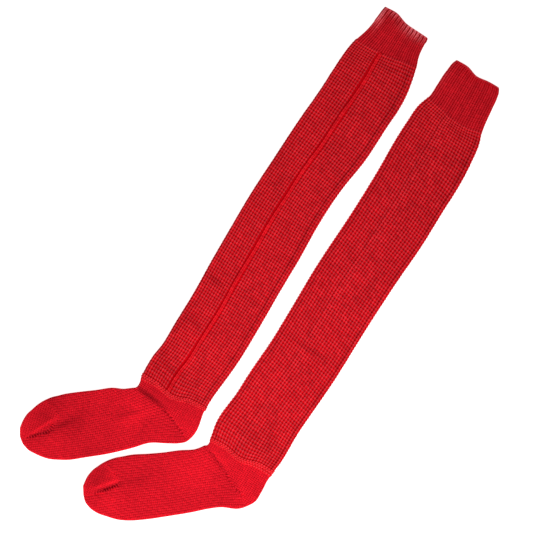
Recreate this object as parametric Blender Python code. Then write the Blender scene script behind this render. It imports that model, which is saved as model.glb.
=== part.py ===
"""A pair of over-the-knee hiking socks in chunky knit, laid flat on their sides with the toes to the left.

Each sock is one flattened tube of cloth. It is made as the pieces that are knitted one after the other:
cuff, leg, heel, foot and toe. Every piece is a wall round a thin flat hollow, open at both ends, and only
the toe is closed. The lower layer lies flat, and the wales stand up on the layer that shows.

The tables are in millimetres, in each sock's own frame: "down" runs from the knee to the heel, and "over"
runs from the shin to the calf. In the finished scene X runs to the right, Y away from the reader and Z up
from the surface that the socks lie on.
"""

import math
from itertools import pairwise
from typing import NamedTuple

import bmesh
import bpy
import numpy as np

MM = 0.001

# Cloth, in millimetres: the gap between two pieces, the hollow between the layers at their folds, and how
# far the layer that shows stands off the lower one along the middle of a tube that is wide enough
SEAM_GAP = 0.3
HOLLOW = 0.5
LOFT = 1.2
FULL_LOFT_WIDTH = 80.0

# Wales on the layer that shows: each has a furrow, then a crest between two parts of its width
WALES = 13
CREST_FROM = 0.3
CREST_TO = 0.7
DEEP_FURROWS = (5, 6, 12)
DEEP_FURROW_EXTRA = 0.3

# The ridge that joins the toe, in millimetres and as the most of the width that it may take
RIDGE_HALF_WIDTH = 2.5
RIDGE_HALF_PART = 0.06

# Fineness of the meshes
FOLD_ANGLES = (45.0, 0.0, -45.0)
LOWER_STEPS = 6
PLAIN_STEPS = 12
SHARP_ANGLE = 50.0


class Section(NamedTuple):
    """One cut across a sock, from its front fold to its back fold."""

    name: str
    front_down: float
    front_over: float
    back_down: float
    back_over: float
    thick: float
    sag_at_quarter: float = 0.0
    sag_at_half: float = 0.0
    sag_at_three_quarters: float = 0.0
    fullness: float = 1.0
    ridge: float = 0.0
    ridge_at: float = 0.5


class Piece(NamedTuple):
    """One knitted piece between two of the named sections. A closed piece names where its hollow ends."""

    name: str
    first: str
    last: str
    spacing: float
    wale_rise: float
    colour: tuple
    roughness: float
    hollow_last: str = ""


class Lie(NamedTuple):
    """Where one sock lies: the place of its own frame's origin and the turn of its leg, in degrees."""

    name: str
    x: float
    y: float
    turn: float
    sections: tuple


# Columns: name, front down, front over, back down, back over, thickness of both layers, then how far the
# cut sags towards the toe at a quarter, a half and three quarters of its width. Fullness is below one where
# an end rolls over, and the ridge is the toe's joining ridge: its height and its part of the width.
FAR_SECTIONS = (
    Section("rim", -2.0, -35.5, 5.0, 32.5, 5.2, -2.0, 1.5, 1.0, fullness=0.7),
    Section("rim_roll", -0.5, -36.0, 6.5, 33.0, 5.2, -2.0, 1.5, 1.0),
    Section("cuff_high", 11.5, -37.5, 14.0, 33.0, 5.4, -1.0, 0.0, -0.5),
    Section("cuff_low", 35.0, -41.0, 31.5, 35.0, 5.6, 1.0, 1.5, 0.5),
    Section("cuff_base", 53.0, -46.5, 44.5, 39.5, 5.8, 2.0, 3.0, 1.0),
    Section("above_knee", 77.0, -50.5, 77.0, 46.5, 6.0),
    Section("knee_top", 102.5, -52.0, 102.5, 48.0, 6.0),
    Section("knee", 128.0, -52.5, 128.0, 46.5, 6.0),
    Section("knee_low", 179.0, -56.0, 179.0, 44.5, 6.0),
    Section("calf_high", 230.5, -58.0, 230.5, 37.5, 6.0),
    Section("calf", 281.5, -60.5, 281.5, 35.5, 6.0),
    Section("calf_low", 333.0, -60.5, 333.0, 37.0, 6.0),
    Section("shin_high", 384.0, -59.5, 384.0, 37.0, 6.0),
    Section("shin", 435.0, -58.0, 435.0, 38.0, 6.0),
    Section("shin_low", 486.5, -58.5, 486.5, 37.5, 6.0),
    Section("above_ankle", 512.0, -58.5, 512.0, 35.5, 6.0),
    Section("leg_low", 537.5, -61.5, 537.5, 33.0, 5.9, 0.5, 2.0, 0.0),
    Section("leg_end", 563.0, -60.0, 557.5, 32.5, 5.6, 1.5, 6.0, 0.5),
    Section("ankle", 572.5, -58.0, 564.0, 32.5, 5.4, 0.5, 4.0, 0.5),
    Section("heel_high", 576.0, -58.0, 571.5, 34.0, 5.4, -0.5, 1.5, 0.0),
    Section("heel", 578.5, -58.5, 580.5, 36.0, 5.3, -1.5, -1.5, -1.0),
    Section("heel_turn", 580.5, -60.0, 593.0, 36.5, 5.3, -3.5, -5.0, -3.5),
    Section("gusset", 581.5, -61.5, 605.5, 33.0, 4.7, -5.0, -8.0, -5.5),
    Section("heel_front", 584.5, -65.5, 612.5, 26.0, 5.3, -2.5, -4.0, -3.0),
    Section("instep", 589.0, -71.5, 620.5, 13.0, 5.3),
    Section("arch_back", 595.5, -85.0, 631.0, -6.0, 5.2),
    Section("arch", 608.0, -100.5, 649.5, -23.5, 5.2),
    Section("arch_front", 619.0, -115.0, 670.5, -45.0, 5.2),
    Section("ball", 633.5, -133.0, 691.5, -70.0, 5.1),
    Section("toe_start", 640.0, -139.5, 703.5, -84.5, 5.0, ridge_at=0.47),
    Section("toe_seam", 646.0, -145.5, 710.5, -96.5, 5.0, ridge=0.9, ridge_at=0.47),
    Section("big_toe", 659.0, -154.0, 716.5, -110.0, 5.0, ridge=1.0, ridge_at=0.51),
    Section("toe_middle", 671.5, -158.5, 719.0, -125.5, 5.0, ridge=0.6, ridge_at=0.62),
    Section("toe_low", 684.5, -161.5, 718.5, -139.5, 5.0, ridge_at=0.62),
    Section("toe_roll", 694.0, -161.0, 714.5, -148.5, 5.0, fullness=0.94),
    Section("toe_tip", 700.0, -160.0, 710.0, -154.0, 5.0, fullness=0.45),
)
NEAR_SECTIONS = (
    Section("rim", 3.5, -35.0, 5.0, 30.5, 5.2, -0.5, 3.5, 1.0, fullness=0.7),
    Section("rim_roll", 5.0, -36.0, 6.5, 31.5, 5.2, -0.5, 3.5, 1.0),
    Section("cuff_high", 22.5, -39.0, 16.0, 35.0, 5.4, 1.0, 2.5, 0.5),
    Section("cuff_low", 42.0, -39.5, 34.0, 37.5, 5.6, 2.5, 5.0, 3.5),
    Section("cuff_base", 63.0, -40.5, 64.5, 42.5, 5.8, 3.5, 7.0, 6.0),
    Section("above_knee", 77.0, -45.0, 78.5, 47.5, 6.0, 1.5, 3.0, 2.5),
    Section("knee_top", 102.5, -46.5, 102.5, 51.5, 6.0),
    Section("knee", 128.0, -46.5, 128.0, 54.0, 6.0),
    Section("knee_low", 179.0, -44.5, 179.0, 54.5, 6.0),
    Section("calf_high", 230.5, -44.0, 230.5, 55.0, 6.0),
    Section("calf", 281.5, -45.0, 281.5, 53.0, 6.0),
    Section("calf_low", 333.0, -45.5, 333.0, 52.0, 6.0),
    Section("shin_high", 384.0, -44.0, 384.0, 52.0, 6.0),
    Section("shin", 435.0, -43.5, 435.0, 52.5, 6.0),
    Section("shin_low", 486.5, -45.0, 486.5, 50.5, 6.0),
    Section("above_ankle", 512.0, -45.0, 512.0, 49.5, 6.0),
    Section("leg_low", 563.0, -46.5, 561.0, 50.5, 5.9, 0.5, 2.5, 0.0),
    Section("leg_end", 582.0, -42.0, 576.0, 49.0, 5.6, 0.5, 4.5, -0.5),
    Section("ankle", 586.5, -41.0, 590.0, 48.5, 5.4, 0.0, 2.5, 0.0),
    Section("heel_high", 589.0, -41.0, 599.0, 49.5, 5.4, -0.5, 1.0, -0.5),
    Section("heel", 591.0, -42.0, 608.0, 50.0, 5.3, -1.5, 0.0, -1.0),
    Section("heel_turn", 592.0, -43.5, 617.5, 50.0, 5.3, -2.5, -1.5, -2.0),
    Section("gusset", 593.0, -44.5, 630.0, 43.5, 4.7, -3.0, -2.5, -2.5),
    Section("heel_front", 597.5, -47.5, 638.0, 36.5, 5.3, -1.5, -1.5, -1.5),
    Section("instep", 604.5, -53.5, 647.5, 18.0, 5.3),
    Section("arch_back", 614.5, -67.5, 658.5, 4.0, 5.2),
    Section("arch", 627.5, -83.0, 674.5, -12.5, 5.2),
    Section("arch_front", 640.0, -99.5, 694.0, -34.5, 5.2),
    Section("ball", 653.0, -117.5, 714.5, -58.5, 5.1),
    Section("toe_start", 660.5, -125.5, 724.5, -72.0, 5.0, ridge_at=0.48),
    Section("toe_seam", 666.5, -132.0, 731.5, -84.5, 5.0, ridge=0.9, ridge_at=0.48),
    Section("big_toe", 677.0, -140.0, 736.5, -100.5, 5.0, ridge=1.0, ridge_at=0.54),
    Section("toe_middle", 688.0, -145.5, 739.5, -115.0, 5.0, ridge=0.6, ridge_at=0.56),
    Section("toe_low", 699.0, -149.0, 738.5, -127.0, 5.0, ridge_at=0.56),
    Section("toe_roll", 710.0, -149.5, 734.5, -136.0, 5.0, fullness=0.94),
    Section("toe_tip", 719.5, -148.0, 729.5, -141.0, 5.0, fullness=0.45),
)
SOCKS = (
    Lie("far", 189.0, 309.0, -120.9, FAR_SECTIONS),
    Lie("near", 282.5, 245.0, -122.3, NEAR_SECTIONS),
)

# Columns: name, first section, last section, spacing of cuts, rise of the wales, colour, roughness
PIECES = (
    Piece("cuff", "rim", "cuff_base", 11.0, 0.7, (0.41, 0.0044, 0.0097), 0.82),
    Piece("leg", "cuff_base", "leg_end", 28.0, 0.6, (0.51, 0.0065, 0.0123), 0.88),
    Piece("heel", "leg_end", "gusset", 7.5, 0.0, (0.62, 0.0075, 0.017), 0.85),
    Piece("foot", "gusset", "toe_start", 9.0, 0.0, (0.62, 0.0085, 0.018), 0.85),
    Piece("toe", "toe_start", "toe_tip", 5.5, 0.0, (0.62, 0.0085, 0.018), 0.85, hollow_last="toe_low"),
)


class Cut:
    """A section made solid: it gives the points of the wall's outer and inner loops."""

    def __init__(self, section):
        """Takes a Section, from a table or read between two rows of one."""
        self.front = np.array((section.front_down, section.front_over))
        self.back = np.array((section.back_down, section.back_over))
        self.thick = section.thick
        sags = (section.sag_at_quarter, section.sag_at_half, section.sag_at_three_quarters)
        self.sags = np.array((0.0, *sags, 0.0))
        self.fullness = min(section.fullness, 1.0)
        self.ridge = section.ridge
        self.ridge_at = section.ridge_at
        across = self.back - self.front
        self.width = float(np.linalg.norm(across))
        self.toward_toe = np.array((across[1], -across[0])) / self.width
        self.layer = (self.thick - HOLLOW) / 2
        self.shift = 0.0

    def place(self, from_front, height):
        """A point of this cut, in metres in the sock's own frame."""
        part = from_front / self.width
        sag = smooth(np.linspace(0, 1, len(self.sags)), self.sags, part)
        flat = self.front + (self.back - self.front) * part + self.toward_toe * (sag + self.shift)
        return (flat[0] * MM, flat[1] * MM, height * MM)

    def loft(self, from_front):
        """How far the layer that shows stands off the lower one."""
        part = from_front / self.width
        fill = min(1.0, self.width / FULL_LOFT_WIDTH)
        return LOFT * fill * (1 - (2 * part - 1) ** 2)

    def top_points(self, wale_rise):
        """(from_front, height) along the layer that shows, between its two folds."""
        fold = self.thick / 2
        flat_width = self.width - 2 * fold
        if wale_rise:
            steps = wale_steps(wale_rise)
        else:
            steps = self.plain_steps(flat_width)
        points = []
        for part, rise in steps:
            from_front = fold + flat_width * part
            points.append((from_front, self.thick + self.loft(from_front) + rise))
        return points

    def plain_steps(self, flat_width):
        """(part of the width, rise) on smooth knit, with the toe's joining ridge where it has one."""
        half = PLAIN_STEPS // 2
        near_ridge = min(RIDGE_HALF_WIDTH / flat_width, RIDGE_HALF_PART)
        before = np.linspace(0.0, self.ridge_at - near_ridge, half)
        after = np.linspace(self.ridge_at + near_ridge, 1.0, half)
        steps = [(part, 0.0) for part in before]
        steps.append((self.ridge_at, self.ridge))
        steps.append((after[0], -self.ridge / 2))
        steps.extend((part, 0.0) for part in after[1:])
        return steps

    def outer(self, wale_rise):
        """The wall's outer loop: front fold, top, back fold, underside."""
        fold = self.thick / 2
        turn = [math.radians(angle) for angle in FOLD_ANGLES]
        front = [(fold * (1 - math.cos(a)), fold * (1 + math.sin(a))) for a in reversed(turn)]
        back = [(self.width - across, height) for across, height in reversed(front)]
        parts = [step / LOWER_STEPS for step in range(LOWER_STEPS, -1, -1)]
        under = [(fold + (self.width - 2 * fold) * part, 0.0) for part in parts]
        profile = front + self.top_points(wale_rise) + back + under
        middle = self.thick / 2
        return [self.place(across, middle + (height - middle) * self.fullness) for across, height in profile]

    def inner(self):
        """The hollow's loop, in the same order as the outer one."""
        start = self.layer
        flat_start = start + HOLLOW
        parts = [step / LOWER_STEPS for step in range(LOWER_STEPS + 1)]
        along = [flat_start + (self.width - 2 * flat_start) * part for part in parts]
        middle = self.layer + HOLLOW / 2
        top = [(a, self.layer + HOLLOW + self.loft(a)) for a in along]
        under = [(a, self.layer) for a in reversed(along)]
        profile = [(start, middle), *top, (self.width - start, middle), *under]
        return [self.place(*point) for point in profile]


def wale_steps(rise):
    """(part of the width, rise) of each furrow and crest across a ribbed layer."""
    steps = []
    for wale in range(WALES):
        depth = DEEP_FURROW_EXTRA if wale in DEEP_FURROWS else 0.0
        steps.append((wale / WALES, -depth))
        steps.append(((wale + CREST_FROM) / WALES, rise))
        steps.append(((wale + CREST_TO) / WALES, rise))
    steps.append((1.0, 0.0))
    return steps


def smooth(knots, rows, at):
    """A smooth curve through rows of values, read at one place between its knots."""
    last = len(knots) - 2
    index = int(np.clip(np.searchsorted(knots, at, side="right") - 1, 0, last))
    span = knots[index + 1] - knots[index]
    t = (at - knots[index]) / span
    start, end = rows[index], rows[index + 1]
    slope_in = slope(knots, rows, index) * span
    slope_out = slope(knots, rows, index + 1) * span
    return (
        (2 * t**3 - 3 * t**2 + 1) * start
        + (t**3 - 2 * t**2 + t) * slope_in
        + (3 * t**2 - 2 * t**3) * end
        + (t**3 - t**2) * slope_out
    )


def slope(knots, rows, index):
    """The curve's slope at one knot: a mean of both sides that favours the shorter one."""
    if index == 0:
        return (rows[1] - rows[0]) / (knots[1] - knots[0])
    if index == len(knots) - 1:
        return (rows[-1] - rows[-2]) / (knots[-1] - knots[-2])
    before = knots[index] - knots[index - 1]
    after = knots[index + 1] - knots[index]
    slope_before = (rows[index] - rows[index - 1]) / before
    slope_after = (rows[index + 1] - rows[index]) / after
    return (slope_before * after + slope_after * before) / (before + after)


def cuts_of(piece, sections):
    """The cuts that one piece runs through, and those of them that its hollow reaches."""
    names = [section.name for section in sections]
    rows = np.array([section[1:] for section in sections], dtype=float)
    centres = (rows[:, 0:2] + rows[:, 2:4]) / 2
    knots = np.concatenate(([0.0], np.cumsum(np.linalg.norm(np.diff(centres, axis=0), axis=1))))
    first = names.index(piece.first)
    last = names.index(piece.last)
    places = [knots[first]]
    for here, after in pairwise(knots[first : last + 1]):
        count = max(1, round((after - here) / piece.spacing))
        places.extend(np.linspace(here, after, count + 1)[1:])
    cuts = [Cut(Section(piece.name, *smooth(knots, rows, place))) for place in places]
    if piece.first != sections[0].name:
        cuts[0].shift = SEAM_GAP / 2
    if not piece.hollow_last:
        cuts[-1].shift = -SEAM_GAP / 2
        return cuts, cuts
    hollow_end = knots[names.index(piece.hollow_last)]
    return cuts, cuts[: places.index(hollow_end) + 1]


def skin(mesh, loops):
    """Joins loops of the same number of points with faces."""
    for here, after in pairwise(loops):
        for step in range(len(here)):
            follow = (step + 1) % len(here)
            mesh.faces.new((here[step], here[follow], after[follow], after[step]))


def close_rim(mesh, outer, inner):
    """Fills the ring between an outer loop and an inner one that has fewer points."""
    outer_step = 0
    inner_step = 0
    while outer_step < len(outer) or inner_step < len(inner):
        here = outer[outer_step % len(outer)]
        beside = inner[inner_step % len(inner)]
        next_outer = outer[(outer_step + 1) % len(outer)]
        next_inner = inner[(inner_step + 1) % len(inner)]
        outer_is_near = (next_outer.co - beside.co).length <= (next_inner.co - here.co).length
        if inner_step >= len(inner) or (outer_step < len(outer) and outer_is_near):
            mesh.faces.new((here, next_outer, beside))
            outer_step += 1
        else:
            mesh.faces.new((here, next_inner, beside))
            inner_step += 1


def knit_mesh(name, piece, sections):
    """The closed solid of one piece, in its sock's own frame."""
    cuts, hollow_cuts = cuts_of(piece, sections)
    bm = bmesh.new()
    outer = [[bm.verts.new(point) for point in cut.outer(piece.wale_rise)] for cut in cuts]
    inner = [[bm.verts.new(point) for point in cut.inner()] for cut in hollow_cuts]
    skin(bm, outer)
    skin(bm, inner)
    close_rim(bm, outer[0], inner[0])
    if len(outer) == len(inner):
        close_rim(bm, outer[-1], inner[-1])
    else:
        bm.faces.new(outer[-1])
        bm.faces.new(inner[-1])
    bmesh.ops.triangulate(bm, faces=bm.faces)
    bmesh.ops.recalc_face_normals(bm, faces=bm.faces)
    mesh = bpy.data.meshes.new(name)
    bm.to_mesh(mesh)
    bm.free()
    mesh.shade_smooth()
    mesh.set_sharp_from_angle(angle=math.radians(SHARP_ANGLE))
    return mesh


def yarn(name, piece):
    """The dyed yarn of one piece."""
    material = bpy.data.materials.new(name)
    material.use_nodes = True
    shader = material.node_tree.nodes["Principled BSDF"]
    shader.inputs["Base Color"].default_value = (*piece.colour, 1.0)
    shader.inputs["Roughness"].default_value = piece.roughness
    shader.inputs["Metallic"].default_value = 0.0
    return material


def lay_sock(lie):
    """One sock's pieces, parented to an empty that holds the sock's place and turn."""
    holder = bpy.data.objects.new(f"{lie.name}_sock", None)
    holder.location = (lie.x * MM, lie.y * MM, 0.0)
    holder.rotation_euler = (0.0, 0.0, math.radians(lie.turn))
    bpy.context.scene.collection.objects.link(holder)
    for piece in PIECES:
        name = f"{lie.name}_{piece.name}"
        mesh = knit_mesh(name, piece, lie.sections)
        mesh.materials.append(yarn(f"{name}_yarn", piece))
        sock_piece = bpy.data.objects.new(name, mesh)
        sock_piece.parent = holder
        bpy.context.scene.collection.objects.link(sock_piece)
    return holder


def centre_on_origin(holders):
    """Moves the socks together, so that the middle of their box stands over the origin."""
    bpy.context.view_layer.update()
    corners = []
    for holder in holders:
        for child in holder.children:
            corners.extend(child.matrix_world @ vertex.co for vertex in child.data.vertices)
    places = np.array(corners)
    middle = (places.min(axis=0) + places.max(axis=0)) / 2
    for holder in holders:
        holder.location.x -= middle[0]
        holder.location.y -= middle[1]


def main():
    """Clears the scene and lays out both socks."""
    for old in list(bpy.data.objects):
        bpy.data.objects.remove(old)
    centre_on_origin([lay_sock(lie) for lie in SOCKS])


main()
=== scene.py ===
"""Looks of a pair of over-the-knee hiking socks, knitted in chunky red yarn and laid flat on their sides.

Each sock is dressed as a knitter makes it, from the cuff down to the toe. Every stretch has a thin cloth,
which is a closed wall on the sock's own form, and real stitches of yarn that stand on it. Stitches are set
out on a flat chart, wale by wale, and the chart is then bent round the sock.

Sizes are in millimetres. Places are in each sock's own frame: "down" runs from the knee to the heel, and
"over" from the shin to the calf. In the scene X runs to the right, Y away from the reader and Z up.
"""

import logging
import math
from dataclasses import dataclass
from enum import Enum
from typing import NamedTuple

import bpy
import numpy as np
from mathutils.kdtree import KDTree
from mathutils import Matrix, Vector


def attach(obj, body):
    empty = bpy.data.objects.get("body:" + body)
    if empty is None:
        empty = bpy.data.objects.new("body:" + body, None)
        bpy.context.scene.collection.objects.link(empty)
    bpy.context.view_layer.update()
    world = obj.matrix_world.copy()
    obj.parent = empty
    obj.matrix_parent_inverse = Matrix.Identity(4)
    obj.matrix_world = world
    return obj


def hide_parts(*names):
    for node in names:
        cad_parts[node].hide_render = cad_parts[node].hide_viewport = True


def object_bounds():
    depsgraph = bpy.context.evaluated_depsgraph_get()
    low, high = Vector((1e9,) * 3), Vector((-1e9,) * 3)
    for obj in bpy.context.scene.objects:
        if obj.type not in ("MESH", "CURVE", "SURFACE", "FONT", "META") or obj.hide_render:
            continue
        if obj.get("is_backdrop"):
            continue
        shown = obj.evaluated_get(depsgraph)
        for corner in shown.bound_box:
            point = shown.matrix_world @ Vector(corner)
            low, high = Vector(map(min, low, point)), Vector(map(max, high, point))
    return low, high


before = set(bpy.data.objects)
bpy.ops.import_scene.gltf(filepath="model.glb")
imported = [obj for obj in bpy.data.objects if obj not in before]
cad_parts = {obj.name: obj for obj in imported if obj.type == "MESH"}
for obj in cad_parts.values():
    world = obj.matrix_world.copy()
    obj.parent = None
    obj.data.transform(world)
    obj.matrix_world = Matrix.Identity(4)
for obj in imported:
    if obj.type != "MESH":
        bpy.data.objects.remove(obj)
CAD_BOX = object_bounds()
MM = 0.001

# The cloth
HOLLOW = 0.5  # the gap between both layers
INNER_LOFT = 0.3  # how much of the loft that gap takes up
THIN_WALL = 0.5  # the thinnest that a wall gets
LOFT = 1.2  # how far a wide stretch is lofted in its middle
FULL_LOFT_WIDTH = 80.0  # how wide it has to be for that
RIDGE_SPREAD = 2.0  # how far the toe's joining ridge spreads to each side
RIM_DEPTH = 14.0  # how far down from the rim ribs are squeezed
INNER_STEP = 3  # how many points of the outer face there are for one of the inner face

# Painted light and shade, as shares of the light
SHADE_OF_CREASE = 0.25  # painted shade lost for each millimetre of depth
SHADE_OF_RIDGE = 0.3  # painted light gained for each millimetre of height
LIGHT_OF_HIGHLIGHT = 0.95  # painted light gained where the pale painted highlight is full
FOLD_SHADE = 0.24  # painted shade lost at the front fold
BACK_FOLD_SHARE = 0.4  # how much of that painted shade is lost at the back fold
FOLD_REACH = 1.8  # how far from a fold the painted shade is lost
BARB_STEP = 4.2  # from one painted dark barb at the leg's front fold to the next
EYELET_SHADE = 1.7  # how deep a small hole looks, by painted shade on the cloth
CROWN_DEPTH = 1.3  # how far below a stitch's crown its yarn takes on the painted shade colour in full
CROWN_CURVE = 1.5  # how fast the painted crown highlight gives way to it
LEAST_LIGHT, MOST_LIGHT = 0.3, 1.4

# The stitches
UNDER_REST = -0.55  # how far they stand out of the form's skin under the sock
SLANT_FADE = 100.0  # how far from both ends of the leg its courses slant in full
HEIGHT_STRAY = 0.6  # how much of a stitch's stray there is in its height

log = logging.getLogger("socks")


class Side(Enum):
    """The two layers of a sock that lies flat."""

    UPPER = "upper"
    UNDER = "under"


class Cut(NamedTuple):
    """A cut across a sock: its front and back ends, and how far it sags to the toe at each quarter."""

    front_down: float
    front_over: float
    back_down: float
    back_over: float
    sag_at_quarter: float = 0.0
    sag_at_half: float = 0.0
    sag_at_three_quarters: float = 0.0


class Crease(NamedTuple):
    """A soft trough between two places, or a ridge where its rise is above zero."""

    down: float
    over: float
    to_down: float
    to_over: float
    rise: float
    half_width: float


class PaintedPatch(NamedTuple):
    """A patch of painted light round one place: a pale painted highlight on the yarn, or painted light and shade."""

    down: float
    over: float
    reach_down: float
    reach_over: float
    share: float


class Furrow(NamedTuple):
    """A furrow that runs down the whole leg between two wales, or a ridge where its rise is above zero."""

    wale: float
    rise: float
    half_width: float


class Fan(NamedTuple):
    """Two lines that wales run between, with how many wales they hold and how many more lie outside each."""

    front: tuple
    back: tuple
    wales: int
    more: int


class Eyelets(NamedTuple):
    """A row of small holes with a short bar of yarn between them, along a line."""

    line: tuple
    bars: int
    first: float
    last: float
    gap: float
    radius: float
    length: float


# The sections of a sock, from its rim to its toe, with the thickness of both layers together
THICKNESS = {
    "rim": 5.2, "rim_roll": 5.2, "cuff_high": 5.4, "cuff_low": 5.6, "cuff_base": 5.8, "above_knee": 6.0,
    "knee_top": 6.0, "knee": 6.0, "knee_low": 6.0, "calf_high": 6.0, "calf": 6.0, "calf_low": 6.0,
    "shin_high": 6.0, "shin": 6.0, "shin_low": 6.0, "above_ankle": 6.0, "leg_low": 5.9, "leg_end": 5.6,
    "ankle": 5.4, "heel_high": 5.4, "heel": 5.3, "heel_turn": 5.3, "gusset": 4.7, "heel_front": 5.3,
    "instep": 5.3, "arch_back": 5.2, "arch": 5.2, "arch_front": 5.2, "ball": 5.1, "toe_start": 5.0,
    "toe_seam": 5.0, "big_toe": 5.0, "toe_middle": 5.0, "toe_low": 5.0, "toe_roll": 5.0, "toe_tip": 5.0,
}
# Where a section is less than full, and how high the joining ridge of the toe is
FULLNESS = {"rim": 0.7, "toe_roll": 0.94, "toe_tip": 0.45}
RIDGES = {"toe_seam": 0.9, "big_toe": 1.0, "toe_middle": 0.6}
# Columns of a section's row of numbers: the cut's ends, the thickness, the sags, the fullness and the ridge
FRONT, BACK, THICK, SAGS = slice(0, 2), slice(2, 4), 4, slice(5, 8)
FULL, RIDGE, RIDGE_AT = 8, 9, 10

FAR_CUTS = (
    Cut(-2, -35.5, 5, 32.5, -2, 1.5, 1), Cut(-0.5, -36, 6.5, 33, -2, 1.5, 1),
    Cut(11.5, -37.5, 14, 33, -1, 0, -0.5), Cut(35, -41, 31.5, 35, 1, 1.5, 0.5),
    Cut(53, -46.5, 44.5, 39.5, 2, 3, 1), Cut(77, -50.5, 77, 46.5), Cut(102.5, -52, 102.5, 48),
    Cut(128, -52.5, 128, 46.5), Cut(179, -56, 179, 44.5), Cut(230.5, -58, 230.5, 37.5),
    Cut(281.5, -60.5, 281.5, 35.5), Cut(333, -60.5, 333, 37), Cut(384, -59.5, 384, 37),
    Cut(435, -58, 435, 38), Cut(486.5, -58.5, 486.5, 37.5), Cut(512, -58.5, 512, 35.5),
    Cut(537.5, -61.5, 537.5, 33, 0.5, 2, 0), Cut(563, -60, 557.5, 32.5, 1.5, 6, 0.5),
    Cut(572.5, -58, 564, 32.5, 0.5, 4, 0.5), Cut(576, -58, 571.5, 34, -0.5, 1.5, 0),
    Cut(578.5, -58.5, 580.5, 36, -1.5, -1.5, -1), Cut(580.5, -60, 593, 36.5, -3.5, -5, -3.5),
    Cut(581.5, -61.5, 605.5, 33, -5, -8, -5.5), Cut(584.5, -65.5, 612.5, 26, -2.5, -4, -3),
    Cut(589, -71.5, 620.5, 13), Cut(595.5, -85, 631, -6), Cut(608, -100.5, 649.5, -23.5),
    Cut(619, -115, 670.5, -45), Cut(633.5, -133, 691.5, -70), Cut(640, -139.5, 703.5, -84.5),
    Cut(646, -145.5, 710.5, -96.5), Cut(659, -154, 716.5, -110), Cut(671.5, -158.5, 719, -125.5),
    Cut(684.5, -161.5, 718.5, -139.5), Cut(694, -161, 714.5, -148.5), Cut(700, -160, 710, -154),
)
NEAR_CUTS = (
    Cut(3.5, -35, 5, 30.5, -0.5, 3.5, 1), Cut(5, -36, 6.5, 31.5, -0.5, 3.5, 1),
    Cut(22.5, -39, 16, 35, 1, 2.5, 0.5), Cut(42, -39.5, 34, 37.5, 2.5, 5, 3.5),
    Cut(63, -40.5, 64.5, 42.5, 3.5, 7, 6), Cut(77, -45, 78.5, 47.5, 1.5, 3, 2.5),
    Cut(102.5, -46.5, 102.5, 51.5), Cut(128, -46.5, 128, 54), Cut(179, -44.5, 179, 54.5),
    Cut(230.5, -44, 230.5, 55), Cut(281.5, -45, 281.5, 53), Cut(333, -45.5, 333, 52),
    Cut(384, -44, 384, 52), Cut(435, -43.5, 435, 52.5), Cut(486.5, -45, 486.5, 50.5),
    Cut(512, -45, 512, 49.5), Cut(563, -46.5, 561, 50.5, 0.5, 2.5, 0),
    Cut(582, -42, 576, 49, 0.5, 4.5, -0.5), Cut(586.5, -41, 590, 48.5, 0, 2.5, 0),
    Cut(589, -41, 599, 49.5, -0.5, 1, -0.5), Cut(591, -42, 608, 50, -1.5, 0, -1),
    Cut(592, -43.5, 617.5, 50, -2.5, -1.5, -2), Cut(593, -44.5, 630, 43.5, -3, -2.5, -2.5),
    Cut(597.5, -47.5, 638, 36.5, -1.5, -1.5, -1.5), Cut(604.5, -53.5, 647.5, 18),
    Cut(614.5, -67.5, 658.5, 4), Cut(627.5, -83, 674.5, -12.5), Cut(640, -99.5, 694, -34.5),
    Cut(653, -117.5, 714.5, -58.5), Cut(660.5, -125.5, 724.5, -72), Cut(666.5, -132, 731.5, -84.5),
    Cut(677, -140, 736.5, -100.5), Cut(688, -145.5, 739.5, -115), Cut(699, -149, 738.5, -127),
    Cut(710, -149.5, 734.5, -136), Cut(719.5, -148, 729.5, -141),
)
FAR_CREASES = (
    Crease(577, -62, 582.5, -12, -1.7, 3.4), Crease(583, -18, 606, 34, -0.3, 1.5),
    Crease(705, -144, 684, -126, -1.3, 2.2), Crease(688, -129, 661, -110, -0.9, 3),
    Crease(697, -143, 672, -130, 0.8, 2.6), Crease(676, -133, 658, -121, 0.5, 2.6),
    Crease(624, -62, 598, -35, -0.6, 2.2), Crease(600, -20, 645, -27, -0.4, 2.6),
    Crease(586, -20, 634, -55, 0.5, 6), Crease(612, -74, 600, -56, 0.4, 3),
    Crease(640, -96, 672, -118, -0.5, 5), Crease(407, -60, 409, -30, -0.7, 4),
    Crease(469, -60, 471, -32, -0.7, 4),
)
NEAR_CREASES = (
    Crease(593, -40, 606, -5, -0.9, 3), Crease(603, -8, 624, 42, -0.4, 1.6),
    Crease(716, -128, 690, -109, -1.5, 2.4), Crease(717, -137, 688, -113, 0.9, 2.6),
    Crease(688, -113, 680, -138, 0.4, 1.6), Crease(690, -109, 660, -80, -0.5, 3.6),
    Crease(415, -38, 417, 44, -0.7, 4),
)
# Pale, pinkish painted highlights on the cuffs' ribs and edges
FAR_HIGHLIGHTS = (PaintedPatch(6, 14, 8, 18, 0.85), PaintedPatch(11, -34, 15, 4.5, 0.85), PaintedPatch(1, -20, 4, 9, 0.5))
NEAR_HIGHLIGHTS = (PaintedPatch(30, -36, 30, 3, 0.12),)
# Painted light and shade: patches where each sock is painted lighter or darker
FAR_LIGHT_PATCHES = (
    PaintedPatch(668, -140, 30, 16, -0.24), PaintedPatch(660, -100, 14, 14, -0.14), PaintedPatch(684, -62, 16, 16, -0.16),
    PaintedPatch(693, -112, 9, 12, 0.1), PaintedPatch(626, -38, 18, 16, 0.12), PaintedPatch(598, -50, 11, 18, 0.12),
    PaintedPatch(604, -88, 10, 12, 0.1), PaintedPatch(592, 32, 7, 9, 0.1), PaintedPatch(545, -25, 22, 26, -0.15),
    PaintedPatch(560, 10, 18, 16, -0.1), PaintedPatch(571, -40, 7, 18, -0.12), PaintedPatch(500, -50, 40, 12, -0.08),
    PaintedPatch(70, 36, 60, 20, -0.08), PaintedPatch(28, -12, 18, 14, 0.08),
)
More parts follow.
